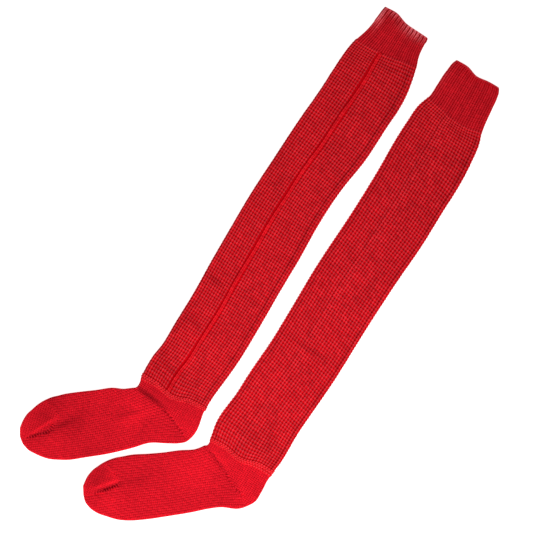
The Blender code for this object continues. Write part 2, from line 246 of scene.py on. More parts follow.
NEAR_LIGHT_PATCHES = (
    PaintedPatch(698, -137, 24, 13, -0.26), PaintedPatch(720, -108, 13, 16, 0.13), PaintedPatch(628, -30, 24, 26, 0.2),
    PaintedPatch(598, -24, 9, 14, 0.13), PaintedPatch(632, -68, 14, 14, 0.13), PaintedPatch(626, 34, 14, 10, 0.14),
    PaintedPatch(589, 45, 8, 7, 0.08), PaintedPatch(555, 5, 20, 28, -0.12), PaintedPatch(288, 28, 34, 9, -0.08),
    PaintedPatch(330, 50, 70, 5, 0.1), PaintedPatch(186, 33, 40, 22, -0.06), PaintedPatch(132, 40, 55, 18, -0.08),
    PaintedPatch(40, -20, 18, 14, 0.12),
)
FAR_FOOT = Fan(
    ((564.3, -45.9), (593.9, -65.4), (622.4, -93.1), (652.0, -127.7), (683.8, -168.3), (699.8, -188.8)),
    ((596.3, 47.8), (629.7, -6.8), (664.2, -45.8), (693.2, -80.6), (728.8, -126.5), (746.8, -149.5)),
    21, 6,
)
NEAR_FOOT = Fan(
    ((582.6, -33.3), (609.5, -54.2), (643.3, -93.4), (675.0, -133.9), (696.4, -158.2), (714.4, -178.7)),
    ((626.9, 47.7), (651.9, 10.5), (682.3, -23.3), (715.1, -63.2), (748.9, -102.4), (768.9, -125.4)),
    24, 5,
)
HEEL = Fan(((535.0, -66.0), (655.0, -66.0)), ((535.0, 56.0), (655.0, 56.0)), 40, 0)


@dataclass(frozen=True)
class Lie:
    """Where one sock lies, how its wales fall round it, and its own creases and small marks.

    Attributes:
        name: which sock it is.
        x: where its own frame's start is in the scene.
        y: the same.
        turn: how far its own frame is turned, in degrees.
        cuts: its cuts, one for each section.
        ridge_at: where the joining ridge of the toe is, as a share of the width, by section.
        creases: soft troughs and ridges.
        highlights: where its yarn carries a pale, pinkish painted highlight.
        light_patches: where painted light and shade make it lighter or darker.
        furrows: furrows that run down the leg.
        foot: how the wales of the foot run.
        gusset: the small holes where the heel is turned.
        ladder: the slots on the toe.
        pocket: the corners of the toe's own pocket.
        wales_above: how many thick wales lie over the layer that shows.
        wales_below: how many lie under it.
        first_wale: how far they are shifted from the front fold, in wales.
        plain_rise: how far the plain wale stands out of the others.
        rim_furrow: how deep the furrows between ribs are at the rim.
        slant: how far courses of the leg run towards the toe, for each millimetre from the middle wale.
    """

    name: str
    x: float
    y: float
    turn: float
    cuts: tuple
    ridge_at: dict
    creases: tuple
    highlights: tuple
    light_patches: tuple
    furrows: tuple
    foot: Fan
    gusset: Eyelets
    ladder: Eyelets
    pocket: tuple
    wales_above: int
    wales_below: int
    first_wale: float
    plain_rise: float
    rim_furrow: float
    slant: float

    @property
    def eyelets(self) -> tuple:
        """Both rows of small holes."""
        return self.gusset, self.ladder


SOCKS = (
    Lie(
        "far", 190.058, 308.996, -120.9, FAR_CUTS,
        {"toe_start": 0.47, "toe_seam": 0.47, "big_toe": 0.51, "toe_middle": 0.62, "toe_low": 0.62},
        FAR_CREASES, FAR_HIGHLIGHTS, FAR_LIGHT_PATCHES,
        furrows=(Furrow(5.42, -0.35, 0.18), Furrow(5.95, 0.3, 0.3), Furrow(12.45, -0.9, 0.2), Furrow(1.42, -0.3, 0.15)),
        foot=FAR_FOOT,
        gusset=Eyelets(((584.3, -15.0), (593.3, 9.4), (604.4, 31.8)), 9, 0.05, 0.82, 1.3, 0.85, 3.2),
        ladder=Eyelets(
            ((705.2, -144.3), (694.6, -135.0), (684.9, -126.8), (674.0, -124.5)), 11, 0.02, 0.95, 2.3, 0.7, 5.2
        ),
        pocket=(
            (720.0, -156.0), (694.6, -135.0), (684.9, -126.8), (670.0, -123.4), (661.0, -124.0), (649.0, -158.0),
            (690.0, -190.0),
        ),
        wales_above=14, wales_below=13, first_wale=0.42, plain_rise=0.6, rim_furrow=1.2, slant=0.07,
    ),
    Lie(
        "near", 283.558, 244.996, -122.3, NEAR_CUTS,
        {"toe_start": 0.48, "toe_seam": 0.48, "big_toe": 0.54, "toe_middle": 0.56, "toe_low": 0.56},
        NEAR_CREASES, NEAR_HIGHLIGHTS, NEAR_LIGHT_PATCHES,
        furrows=(Furrow(4.98, -0.3, 0.15), Furrow(11.95, -0.8, 0.2), Furrow(1.0, -0.5, 0.2)),
        foot=NEAR_FOOT,
        gusset=Eyelets(((603.5, -6.0), (613.5, 8.0), (623.1, 39.2)), 9, 0.08, 0.86, 1.45, 0.85, 3.4),
        ladder=Eyelets(((723.0, -134.0), (703.1, -116.2), (692.4, -110.2)), 10, 0.2, 0.97, 2.4, 0.7, 5.2),
        pocket=(
            (740.0, -146.0), (722.0, -132.0), (703.1, -116.2), (690.0, -109.5), (686.5, -114.0), (677.0, -146.0),
            (700.0, -180.0),
        ),
        wales_above=13, wales_below=14, first_wale=0.0, plain_rise=0.1, rim_furrow=0.15, slant=0.16,
    ),
)


def bell(away: np.ndarray, width: np.ndarray | float) -> np.ndarray:
    """A soft share that is 1 where away is zero, and little past the width."""
    return np.exp(-((away / width) ** 2))


def crossed(first: np.ndarray, second: np.ndarray) -> np.ndarray:
    """The area between two flat ways, one for each pair of rows."""
    return first[:, 0] * second[:, 1] - first[:, 1] * second[:, 0]


def lengths_along(points: np.ndarray) -> np.ndarray:
    """How far each point of a path is from its first one, along the path."""
    return np.concatenate(([0.0], np.cumsum(np.linalg.norm(np.diff(points, axis=0), axis=1))))


def headings(points: np.ndarray) -> np.ndarray:
    """Which way a path runs at each of its points, with a length of one."""
    ways = np.gradient(points, axis=0)
    return ways / np.linalg.norm(ways, axis=1)[:, None]


def hermite(
    t: np.ndarray, span: np.ndarray | float, low: np.ndarray, low_slope: np.ndarray, high: np.ndarray,
    high_slope: np.ndarray,
) -> np.ndarray:
    """Reads a cubic between two knots.

    Args:
        t: the share of the way between the knots.
        span: how far apart the knots are.
        low: the value at the first knot.
        low_slope: the slope there.
        high: the value at the second knot.
        high_slope: the slope there.

    Returns:
        The value at each place.
    """
    return (
        (2 * t**3 - 3 * t**2 + 1) * low
        + (t**3 - 2 * t**2 + t) * low_slope * span
        + (3 * t**2 - 2 * t**3) * high
        + (t**3 - t**2) * high_slope * span
    )


def curve_slopes(knots: np.ndarray, rows: np.ndarray) -> np.ndarray:
    """The slope of a smooth curve at each of its knots.

    Args:
        knots: places along the curve, rising.
        rows: one row of values for each knot.

    Returns:
        One row of slopes for each knot, each a mean of both sides that favours the shorter one.
    """
    span = np.diff(knots)[:, None]
    step = np.diff(rows, axis=0) / span
    middle = (step[:-1] * span[1:] + step[1:] * span[:-1]) / (span[1:] + span[:-1])
    return np.concatenate((step[:1], middle, step[-1:]))


def curve_values(knots: np.ndarray, rows: np.ndarray, slopes: np.ndarray, at: np.ndarray) -> np.ndarray:
    """Reads a smooth curve through rows of values.

    Args:
        knots: places along the curve, rising.
        rows: one row of values for each knot.
        slopes: what curve_slopes gives for them.
        at: the places to read.

    Returns:
        One row of values for each place.
    """
    index = np.clip(np.searchsorted(knots, at, side="right") - 1, 0, len(knots) - 2)
    span = (knots[index + 1] - knots[index])[:, None]
    t = (at - knots[index])[:, None] / span
    return hermite(t, span, rows[index], slopes[index], rows[index + 1], slopes[index + 1])


def beside(flat: np.ndarray, start: tuple, end: tuple) -> tuple:
    """Where places lie beside a straight line.

    Args:
        flat: rows of down and over.
        start: down and over of one end.
        end: the same of the other.

    Returns:
        Each place's share of the way along the line, and how far it is from it.
    """
    start = np.array(start)
    run = np.array(end) - start
    share = np.clip((flat - start) @ run / (run @ run), 0.0, 1.0)
    return share, np.linalg.norm(flat - start - share[:, None] * run, axis=1)


def patch_share(flat: np.ndarray, patch: PaintedPatch) -> np.ndarray:
    """How much of a patch's share each place gets: all of it in the middle, and little past its reach."""
    away = ((flat[:, 0] - patch.down) / patch.reach_down) ** 2
    away += ((flat[:, 1] - patch.over) / patch.reach_over) ** 2
    return patch.share * np.exp(-away)


def line_places(line: tuple, parts: np.ndarray) -> tuple:
    """Places and headings at parts of the length of a smooth line.

    Args:
        line: the line's points.
        parts: shares of the line's length.

    Returns:
        One row of down and over for each part, and one of the line's way there.
    """
    points = np.array(line, dtype=float)
    knots = np.arange(len(points), dtype=float)
    fine = np.linspace(0.0, knots[-1], 120)
    path = curve_values(knots, points, curve_slopes(knots, points), fine)
    run = lengths_along(path)
    run /= run[-1]
    place, way = (
        np.stack([np.interp(parts, run, column) for column in values.T], axis=1) for values in (path, headings(path))
    )
    return place, way


def away_from_eyelets(flat: np.ndarray, row: Eyelets) -> np.ndarray:
    """How far places are from the line of a row of eyelets.

    Args:
        flat: rows of down and over.
        row: the eyelets.

    Returns:
        One distance for each place.
    """
    line, _ = line_places(row.line, np.linspace(row.first, row.last, 12))
    nearest = np.full(len(flat), np.inf)
    for start, end in zip(line[:-1], line[1:]):
        nearest = np.minimum(nearest, beside(flat, start, end)[1])
    return nearest


def inside_patch(flat: np.ndarray, corners: tuple) -> np.ndarray:
    """Whether places are inside a patch with straight sides.

    Args:
        flat: rows of down and over.
        corners: down and over of each corner, in order.

    Returns:
        One answer for each place.
    """
    inside = np.zeros(len(flat), dtype=bool)
    down, over = flat[:, 0], flat[:, 1]
    for (first_down, first_over), (last_down, last_over) in zip(corners, corners[1:] + corners[:1]):
        crosses = (first_over > over) != (last_over > over)
        rise = (last_down - first_down) / (last_over - first_over if last_over != first_over else 1e-9)
        inside ^= crosses & (down < first_down + (over - first_over) * rise)
    return inside


class Slices(NamedTuple):
    """A cut at each of many lengths: its row of numbers, front end, way to the back, width and way to the toe."""

    row: np.ndarray
    front: np.ndarray
    across: np.ndarray
    width: np.ndarray
    toward_toe: np.ndarray


class SockForm:
    """The form of one sock that lies flat, read at any place on its cloth.

    A place is "around" and "along": around runs from 0 at the front fold over the layer that shows to 1 at
    the back fold, and on under the sock to 2; along is the length from the rim. A "flat" place is down and
    over in the sock's own frame.
    """

    SAG_SPAN = 0.25  # from one sag of a cut to the next, as a share of its width
    CREASE_END, CREASE_FADE = 0.04, 0.4  # how a crease fades at both ends
    FURROW_START, FURROW_END = 15.0, 8.0  # how far furrows fade in and out on the leg
    RIDGE_HOLLOW, HOLLOW_AWAY = 0.6, 1.9  # the trough beside the toe's ridge: its depth, and its place in spreads
    SEEDS_AROUND, SEED_STEP, TRIES = 23, 4.0, 6  # where searches start, and how often each is bettered
    NUDGE_AROUND, NUDGE_ALONG, LEAST_AREA = 1e-3, 0.05, 1e-6  # how a search feels its way
    MOST_AROUND, MOST_ALONG = 0.1, 6.0  # its longest step

    def __init__(self, lie: Lie) -> None:
        """Takes where the sock lies, and lays out its sections."""
        self.lie = lie
        rows = []
        for (name, thick), cut in zip(THICKNESS.items(), lie.cuts):
            more = (FULLNESS.get(name, 1.0), RIDGES.get(name, 0.0), lie.ridge_at.get(name, 0.5))
            rows.append((*cut[:4], thick, *cut[4:], *more))
        self.rows = np.array(rows, dtype=float)
        self.knots = lengths_along((self.rows[:, FRONT] + self.rows[:, BACK]) / 2)
        self.slopes = curve_slopes(self.knots, self.rows)
        self.leg_span = (self.along("cuff_base"), self.along("leg_end"))
        self._seeds = None
        self._tree = None

    def along(self, name: str) -> float:
        """How far from the rim a named section is."""
        return float(self.knots[list(THICKNESS).index(name)])

    def row(self, along: np.ndarray) -> np.ndarray:
        """The row of numbers of the section at each length from the rim."""
        return curve_values(self.knots, self.rows, self.slopes, along)

    def relief(self, flat: np.ndarray) -> np.ndarray:
        """How far the creases lift the cloth that shows.

        Args:
            flat: rows of down and over.

        Returns:
            One rise for each place.
        """
        rise = np.zeros(len(flat))
        for crease in self.lie.creases:
            share, away = beside(flat, crease[:2], crease[2:4])
            fade = np.sin(np.pi * np.clip(share, self.CREASE_END, 1 - self.CREASE_END)) ** self.CREASE_FADE
            rise += crease.rise * fade * bell(away, crease.half_width)
        return rise

    def furrow(self, around: np.ndarray, along: np.ndarray) -> np.ndarray:
        """How far furrows between wales lift the cloth that shows.

        Args:
            around: where round the sock.
            along: the length from the rim.

        Returns:
            One rise for each place, below zero in a furrow.
        """
        wale = around * self.lie.wales_above
        start, end = self.leg_span
        leg = np.clip((along - start) / self.FURROW_START, 0.0, 1.0)
        leg = leg * np.clip((end - along) / self.FURROW_END, 0.0, 1.0)
        rise = np.zeros(len(wale))
        for furrow in self.lie.furrows:
            rise += furrow.rise * leg * bell(wale - furrow.wale, furrow.half_width)
        near_rim = np.clip(1.0 - along / RIM_DEPTH, 0.0, 1.0)
        between = 0.5 + 0.5 * np.cos(2 * np.pi * (wale - self.lie.first_wale))
        return rise - self.lie.rim_furrow * near_rim * between**2

    def shade(self, flat: np.ndarray, sunk: np.ndarray, around: np.ndarray, along: np.ndarray) -> np.ndarray:
        """The painted light and shade that the cloth keeps, as a share of its light: painted shade in creases, furrows
        and holes, at folds and in darker patches, and painted light on ridges and in lighter patches.

        Args:
            flat: rows of down and over.
            sunk: how far creases and furrows lift each place.
            around: where round the sock.
            along: the length from the rim.

        Returns:
            One share for each place.
        """
        around = np.mod(around, 2.0)
        showing = np.where(around < 1.0, 1.0, 0.0)
        width = self._cut(along).width
        from_front = np.minimum(around, 2.0 - around) * width
        from_back = np.abs(around - 1.0) * width
        # Painted shade in creases and furrows, painted light on ridges
        kept = 1.0 + SHADE_OF_CREASE * np.minimum(sunk, 0.0) * showing
        kept += SHADE_OF_RIDGE * np.maximum(sunk, 0.0) * showing
        start, end = self.leg_span
        # Painted shade along both folds, broken into dark barbs along the leg's front fold
        barbs = np.where((along > start) & (along < end), 1.0 + np.cos(2 * np.pi * along / BARB_STEP), 1.0)
        kept -= FOLD_SHADE * bell(from_front, FOLD_REACH) * barbs
        kept -= BACK_FOLD_SHARE * FOLD_SHADE * bell(from_back, FOLD_REACH)
        # Painted light and shade in patches
        for patch in self.lie.light_patches:
            kept += patch_share(flat, patch) * showing
        return np.clip(kept, LEAST_LIGHT, MOST_LIGHT)

    def bloom(self, flat: np.ndarray) -> np.ndarray:
        """How strong the pale painted highlight is at each flat place, as a share."""
        pale = np.zeros(len(flat))
        for patch in self.lie.highlights:
            pale += patch_share(flat, patch)
        return np.clip(pale, 0.0, 1.0)

    def at_fold(self, around: np.ndarray, along: np.ndarray) -> np.ndarray:
        """How near places round the sock are to a fold.

        Args:
            around: where round the sock.
            along: the length from the rim.

        Returns:
            One share for each place, from 0 on the layers to 1 at the fold itself.
        """
        around = np.mod(around, 2.0)
        away = np.minimum(np.minimum(around, 2.0 - around), np.abs(around - 1.0)) * self._cut(along).width
        return bell(away, FOLD_REACH)

    def skin(
        self, around: np.ndarray, along: np.ndarray, out: np.ndarray | float, inner: bool = False
    ) -> np.ndarray:
        """Places on the sock, in metres in the scene.

        Args:
            around: where round the sock, from 0 to 2.
            along: the length from the rim.
            out: how far outside the form's own skin.
            inner: whether these are places on the wall's inner face, which has no creases.

        Returns:
            One row of X, Y and Z for each place.
        """
        around = np.mod(around, 2.0)
        cut = self._cut(along)
        row, width = cut.row, cut.width
        fold = row[:, THICK] / 2
        arc = fold * np.pi / 2
        level = width - 2 * fold
        showing = around < 1.0
        share = np.where(showing, around, 2.0 - around)
        run = share * (2 * arc + level)
        from_end = np.minimum(run, 2 * arc + level - run)
        angle = np.clip(from_end / fold, 0.0, np.pi / 2)
        reach = (fold + out) * np.cos(angle)
        at = np.where(run < arc, fold - reach, np.where(run > arc + level, width - fold + reach, fold + run - arc))
        flat = self._across(cut, at)
        part = np.clip(at / width, 0.0, 1.0)
        lift = np.sin(angle)
        loft = LOFT * np.minimum(1.0, width / FULL_LOFT_WIDTH) * (1 - (2 * part - 1) ** 2)
        ridge_away = at - fold - level * row[:, RIDGE_AT]
        hollow = self.RIDGE_HOLLOW * bell(ridge_away - self.HOLLOW_AWAY * RIDGE_SPREAD, RIDGE_SPREAD)
        ridge = row[:, RIDGE] * (bell(ridge_away, RIDGE_SPREAD) - hollow)
        core = HOLLOW / 2 + INNER_LOFT * loft
        if inner:
            above = lift * core
        else:
            above = fold + out + loft + ridge + self.relief(flat) + self.furrow(share, along)
            above = lift * np.maximum(above, core + THIN_WALL)
        height = np.where(showing, above, -lift * (fold + out))
        height = fold + height * np.minimum(row[:, FULL], 1.0)
        turn = math.radians(self.lie.turn)
        x = self.lie.x + flat[:, 0] * math.cos(turn) - flat[:, 1] * math.sin(turn)
        y = self.lie.y + flat[:, 0] * math.sin(turn) + flat[:, 1] * math.cos(turn)
        return np.stack((x, y, height), axis=1) * MM

    def opened(self, around: np.ndarray, along: np.ndarray) -> np.ndarray:
        """Where a place of the layer that shows comes to lie when both folds are opened flat.

        Args:
            around: where round the sock, from a little under 0 to a little over 1.
            along: the length from the rim.

        Returns:
            Rows of down and over.
        """
        cut = self._cut(along)
        fold = cut.row[:, THICK] / 2
        arc = fold * np.pi / 2
        return self._across(cut, fold - arc + around * (2 * arc + cut.width - 2 * fold))

    def find(self, flat: np.ndarray) -> tuple:
        """Turns opened-out places back into places round and along the sock.

        Args:
            flat: rows of down and over.

        Returns:
            Where round the sock, the length from the rim, and how far each is missed.
        """
        if self._seeds is None:
            ring = np.linspace(-0.05, 1.05, self.SEEDS_AROUND)
            ring, length = np.meshgrid(ring, np.arange(2.0, self.knots[-1], self.SEED_STEP))
            self._seeds = (ring.ravel(), length.ravel())
            opened = self.opened(*self._seeds)
            self._tree = KDTree(len(opened))
            for number, (down, over) in enumerate(opened.tolist()):
                self._tree.insert((down, over, 0.0), number)
            self._tree.balance()
        nearest = np.array([self._tree.find((down, over, 0.0))[1] for down, over in flat.tolist()])
        around, along = self._seeds[0][nearest], self._seeds[1][nearest]
        for _ in range(self.TRIES):
            here = self.opened(around, along)
            miss = flat - here
            by_around = (self.opened(around + self.NUDGE_AROUND, along) - here) / self.NUDGE_AROUND
            by_along = (self.opened(around, along + self.NUDGE_ALONG) - here) / self.NUDGE_ALONG
            area = crossed(by_around, by_along)
            area = np.where(np.abs(area) < self.LEAST_AREA, self.LEAST_AREA, area)
            to_around = np.clip(crossed(miss, by_along) / area, -self.MOST_AROUND, self.MOST_AROUND)
            to_along = np.clip(crossed(by_around, miss) / area, -self.MOST_ALONG, self.MOST_ALONG)
            around = np.clip(around + to_around, -0.2, 1.2)
            along = np.clip(along + to_along, 0.05, self.knots[-1] - 0.1)
        miss = np.linalg.norm(flat - self.opened(around, along), axis=1)
        return around, along, miss

    def _cut(self, along: np.ndarray) -> Slices:
        """The cut at each length from the rim.

        Args:
            along: the lengths.

        Returns:
            The cuts.
        """
        row = self.row(along)
        front = row[:, FRONT]
        across = row[:, BACK] - front
        width = np.linalg.norm(across, axis=1)
        toward_toe = np.stack((across[:, 1], -across[:, 0]), axis=1) / width[:, None]
        return Slices(row, front, across, width, toward_toe)

    def _across(self, cut: Slices, at: np.ndarray) -> np.ndarray:
        """Flat places on cuts, with the cuts' own sag.

        Args:
            cut: a cut for each place.
            at: how far the place is from the cut's front end.

        Returns:
            Rows of down and over.
        """
        none = np.zeros((len(at), 1))
        sags = np.concatenate((none, cut.row[:, SAGS], none), axis=1)
        step = np.diff(sags, axis=1) / self.SAG_SPAN
        slopes = np.concatenate((step[:, :1], (step[:, :-1] + step[:, 1:]) / 2, step[:, -1:]), axis=1)
        quarters = np.clip(at / cut.width, 0.0, 1.0) * 4
        index = np.clip(quarters.astype(int), 0, 3)
        each = np.arange(len(at))
        low, high = (each, index), (each, index + 1)
        sag = hermite(quarters - index, self.SAG_SPAN, sags[low], slopes[low], sags[high], slopes[high])
        return cut.front + cut.across * (at / cut.width)[:, None] + cut.toward_toe * sag[:, None]


@dataclass(frozen=True)
class Wales:
    """How a number of wales fall round a sock: so many over the layer that shows, so many under it."""

    above: int
    below: int
    first: float = 0.0

    @property
    def count(self) -> int:
        """All the wales round the sock."""
        return self.above + self.below

    def around(self, wale: np.ndarray) -> np.ndarray:
        """Where round the sock a place on the chart is, from 0 to 2.

        Args:
            wale: the place in wales from the front fold.

        Returns:
            The place round the sock.
        """
        wale = np.mod(wale, self.count)
        over = wale / self.above
        under = 1.0 + (wale - self.above) / self.below
        return np.where(wale < self.above, over, under)

    def centres(self, side: Side) -> np.ndarray:
        """The middles of the wales on one layer, in wales from the front fold."""
        middles = np.mod(np.arange(self.count) + 0.5 + self.first, self.count)
        showing = middles < self.above
        return np.sort(middles[showing if side is Side.UPPER else ~showing])


@dataclass(frozen=True)
class Strand:
    """One length of yarn in a stitch, as a path on the chart, with its ends rounded out a little.

    The path's columns are: wales to the right of the stitch's middle, courses towards the toe, and
    millimetres above the cloth's reference, then the yarn's thickness as a share of the full one.
    """

    path: tuple
    sides: int = 5
    cap: float = 0.7


@dataclass(frozen=True)
class StitchShape:
    """A stitch as its strands, with the yarn's radius."""

    name: str
    strands: tuple
    radius: float


def placed(name: str, data: bpy.types.ID) -> bpy.types.Object:
    """A new object in the scene, with its data."""
    made = bpy.data.objects.new(name, data)
    bpy.context.scene.collection.objects.link(made)
    return made


def note(mesh: bpy.types.Mesh, name: str, values: np.ndarray) -> None:
    """Keeps one number for each point of a mesh, which its material or its node tree reads by name."""
    kept = mesh.attributes.new(name, "FLOAT", "POINT")
    kept.data.foreach_set("value", np.asarray(values, dtype=np.float32))


def count_triangles(mesh: bpy.types.Mesh) -> int:
    """How many triangles a mesh has."""
    mesh.calc_loop_triangles()
    return len(mesh.loop_triangles)


def tube_rings(strand: Strand, radius: float, wale: float, course: float) -> tuple:
    """The points and faces of one strand as a closed tube.

    Args:
        strand: the path and how many sides the tube has.
        radius: the yarn's full radius.
        wale: the width of a wale.
        course: the height of a course.

    Returns:
        Points in metres, faces as tuples of their numbers, and for each corner its place on the yarn.
    """
    path = np.array(strand.path, dtype=float)
    spine = path[:, 0:3] * np.array((wale, course, 1.0))
    ways = headings(spine)
    side = np.cross(ways, np.array((0.0, 0.0, 1.0)))
    upright = np.linalg.norm(side, axis=1) < 1e-3
    side[upright] = (1.0, 0.0, 0.0)
    for row in range(1, len(side)):
        if side[row] @ side[row - 1] < 0:
            side[row] *= -1
    side /= np.linalg.norm(side, axis=1)[:, None]
    up = np.cross(side, ways)
    count = strand.sides
    turns = 2 * np.pi * (np.arange(count) + 0.5) / count
    points = [spine[0] - ways[0] * radius * path[0, 3] * strand.cap]
    for row in range(len(spine)):
        thick = radius * path[row, 3]
        for turn in turns:
            points.append(spine[row] + thick * (math.cos(turn) * side[row] + math.sin(turn) * up[row]))
    points.append(spine[-1] + ways[-1] * radius * path[-1, 3] * strand.cap)
    length = lengths_along(spine)
    faces, marks = [], []
    last = len(points) - 1
    for step in range(count):
        after = (step + 1) % count
        here, there = step / count, (step + 1) / count
        faces.append((0, 1 + after, 1 + step))
        marks.append(((here, 0.0), (there, 0.0), (here, 0.0)))
        for row in range(len(spine) - 1):
            base = 1 + row * count
            faces.append((base + step, base + after, base + count + after, base + count + step))
            low, high = length[row], length[row + 1]
            marks.append(((here, low), (there, low), (there, high), (here, high)))
        base = 1 + (len(spine) - 1) * count
        end = length[-1]
        faces.append((base + step, base + after, last))
        marks.append(((here, end), (there, end), (here, end)))
    return np.array(points) * MM, faces, marks


def stitch_object(shape: StitchShape, wale: float, course: float) -> bpy.types.Object:
    """One stitch as a hidden object that a chart repeats.

    Args:
        shape: the stitch's strands.
        wale: the width of a wale.
        course: the height of a course.

    Returns:
        The object, which isn't shown.
    """
    points, faces, marks = [], [], []
    base = 0
    for strand in shape.strands:
        own_points, own_faces, own_marks = tube_rings(strand, shape.radius, wale, course)
        points.append(own_points)
        faces.extend([tuple(base + corner for corner in face) for face in own_faces])
        marks.extend(own_marks)
        base += len(own_points)
    mesh = bpy.data.meshes.new(shape.name)
    mesh.from_pydata(np.concatenate(points).tolist(), [], faces)
    yarn = mesh.uv_layers.new(name="yarn")
    yarn.data.foreach_set("uv", np.array([corner for face in marks for corner in face], np.float32).ravel())
    mesh.shade_smooth()
    holder = placed(shape.name, mesh)
    holder.hide_render = True
    holder.hide_viewport = True
    return holder


def pillar_path(place: float, height: float, swell: float, neck: float) -> tuple:
    """The path of one pillar of a tuck stitch, which swells where the course crosses it.

    Args:
        place: where the pillar stands, in wales from the stitch's middle.
        height: how high its swell stands above the cloth's reference.
        swell: how thick it is there, as a share of the full yarn.
        neck: how thick it is at both ends.

    Returns:
        Rows of a strand's path.
    """
    lean = 0.02 if place > 0 else -0.02
    reach, dip = 0.56, 0.42
    return (
        (place - lean, -reach, height - dip, neck),
        (place + lean, 0.0, height, swell),
        (place - lean, reach, height - dip, neck),
    )


def rung_path(height: float, arch: float) -> tuple:
    """The path of the strand that crosses both pillars along a course.

    Args:
        height: how high its middle stands above the cloth's reference.
        arch: how far its middle bows towards the cuff, in courses.

    Returns:
        Rows of a strand's path.
    """
    reach, below = 0.52, 0.05
    return ((-reach, below, height, 0.74), (0.0, below - arch, height, 0.76), (reach, below, height, 0.74))


def plain_shape(
    name: str, radius: float, sides: int, height: float, spread: float, full: bool = True, pinch: float = 0.3,
    bulge: float = 0.25, ends: float = 0.75, reach: float = 0.62,
) -> StitchShape:
    """A plain stitch: two halves that lean to both sides of its wale and meet in a V.

    Args:
        name: the stitch's name.
        radius: the yarn's radius.
        sides: how many sides the yarn has.
        height: how high its middle stands above the cloth's reference.
        spread: how far its heads stand from the wale's middle, in wales.
        full: whether each half swells in its middle, or is straight.
        pinch: how far its feet stand from the wale's middle, as a share of its heads.
        bulge: how much higher the middle is than the ends.
        ends: how thick the ends are, as a share of the full yarn.
        reach: how far it reaches towards the toe and towards the cuff, in courses.

    Returns:
        The stitch.
    """
    halves = []
    for side in (-1, 1):
        path = (
            (side * spread * pinch, reach, height - bulge, ends),
            (side * spread * (0.4 + 0.6 * pinch), 0.0, height, 1.0),
            (side * spread, -reach, height - bulge, ends),
        )
        halves.append(Strand(path if full else (path[0], path[2]), sides))
    return StitchShape(name, tuple(halves), radius)


def bar_shape(name: str, radius: float, length: float, height: float, droop: float, across: bool) -> StitchShape:
    """A short bar of yarn that dips at both ends.

    Args:
        name: the stitch's name.
        radius: the yarn's radius.
        length: how long the bar is, as a share of the stitch that it stands for.
        height: how high its middle stands above the cloth's reference.
        droop: how much lower its ends are.
        across: whether it lies across the wale, or along it.

    Returns:
        The stitch.
    """
    rows = []
    for part, thick, low in ((-0.5, 0.6, droop), (-0.2, 1.0, 0.0), (0.2, 1.0, 0.0), (0.5, 0.6, droop)):
        place = (part * length, 0.0) if across else (0.0, part * length)
        rows.append((*place, height - low, thick))
    return StitchShape(name, (Strand(tuple(rows), 6),), radius)


@dataclass
class Places:
    """Where the stitches of one piece go on a chart.

    Turn is in radians, and wide and long are shares of the full stitch.
    """

    across: np.ndarray
    along: np.ndarray
    turn: np.ndarray
    wide: np.ndarray
    long: np.ndarray

    @classmethod
    def full(cls, across: np.ndarray, along: np.ndarray, turn: np.ndarray | float = 0.0) -> "Places":
        """Places of stitches that all have their full size."""
        one = np.ones(len(across))
        return cls(across, along, turn * one, one, one)

    @property
    def flat(self) -> np.ndarray:
        """Rows of down and over, for places on one layer's own chart."""
        return np.stack((self.along, self.across), axis=1)

    def kept(self, keep: np.ndarray) -> "Places":
        """Only those places that a mask keeps."""
        return Places(*(values[keep] for values in vars(self).values()))

    def joined(self, other: "Places") -> "Places":
        """These places, and then the other ones."""
        return Places(*(np.concatenate(pair) for pair in zip(vars(self).values(), vars(other).values())))


def wander(flat: np.ndarray, amount: float) -> np.ndarray:
    """Lets the wales and courses of a chart wander in soft waves, as in cloth that was worn and laid down.

    Args:
        flat: places on the chart.
        amount: how far they wander.

    Returns:
        The places after it.
    """
    # Each wave's lengths are in millimetres
    x, y = flat[:, 0], flat[:, 1]
    sideways = np.sin(y / 31 + x / 47) + 0.6 * np.sin(y / 13.7 - x / 29 + 1.3)
    lengthways = np.sin(x / 23 + y / 61 + 0.7) + 0.5 * np.sin(x / 11 + y / 37)
    moved = flat.copy()
    moved[:, 0] += amount * sideways
    moved[:, 1] += amount * lengthways
    return moved


def chance(column: np.ndarray, course: np.ndarray) -> np.ndarray:
    """A number from 0 to 1 for each stitch of a chart, which is the same every time."""
    return np.mod(np.sin(12.9898 * column + 78.233 * course) * 43758.5453, 1.0)


class NodeDesk:
    """Sets out the nodes of one tree, and fills their inputs."""

    def __init__(self, tree: bpy.types.NodeTree) -> None:
        """Takes the tree."""
        self.tree = tree

    def ends(self, given: dict, made: dict) -> tuple:
        """Gives the tree its named inputs and outputs.

        Args:
            given: the kind of each input, by name.
            made: the kind of each output, by name.

        Returns:
            The sockets that hand the inputs on, by name, and the node that takes the outputs.
        """
        for way, kinds in (("INPUT", given), ("OUTPUT", made)):
            for name, kind in kinds.items():
                self.tree.interface.new_socket(name=name, in_out=way, socket_type=f"NodeSocket{kind}")
        return self.tree.nodes.new("NodeGroupInput").outputs, self.tree.nodes.new("NodeGroupOutput")

    def fill(self, node: bpy.types.Node, values: dict) -> None:
        """Links sockets to a node's inputs, or sets plain values on them.

        Args:
            node: the node.
            values: a socket or a value for each input, by its name or number.
        """
        for key, value in values.items():
            if isinstance(value, bpy.types.NodeSocket):
                self.tree.links.new(value, node.inputs[key])
            else:
                node.inputs[key].default_value = value

    def add(self, kind: str, values: dict | None = None, **settings: object) -> bpy.types.Node:
        """Adds a node.

        Args:
            kind: the node's type.
            values: what fills its inputs.
            settings: its own settings, which are made first.

        Returns:
            The node.
        """
        node = self.tree.nodes.new(kind)
        for name, value in settings.items():
            setattr(node, name, value)
        self.fill(node, values or {})
        return node

    def maths(self, operation: str, *values: object) -> bpy.types.NodeSocket:
        """The result of one operation on sockets and numbers."""
        return self.add("ShaderNodeMath", dict(enumerate(values)), operation=operation).outputs["Value"]


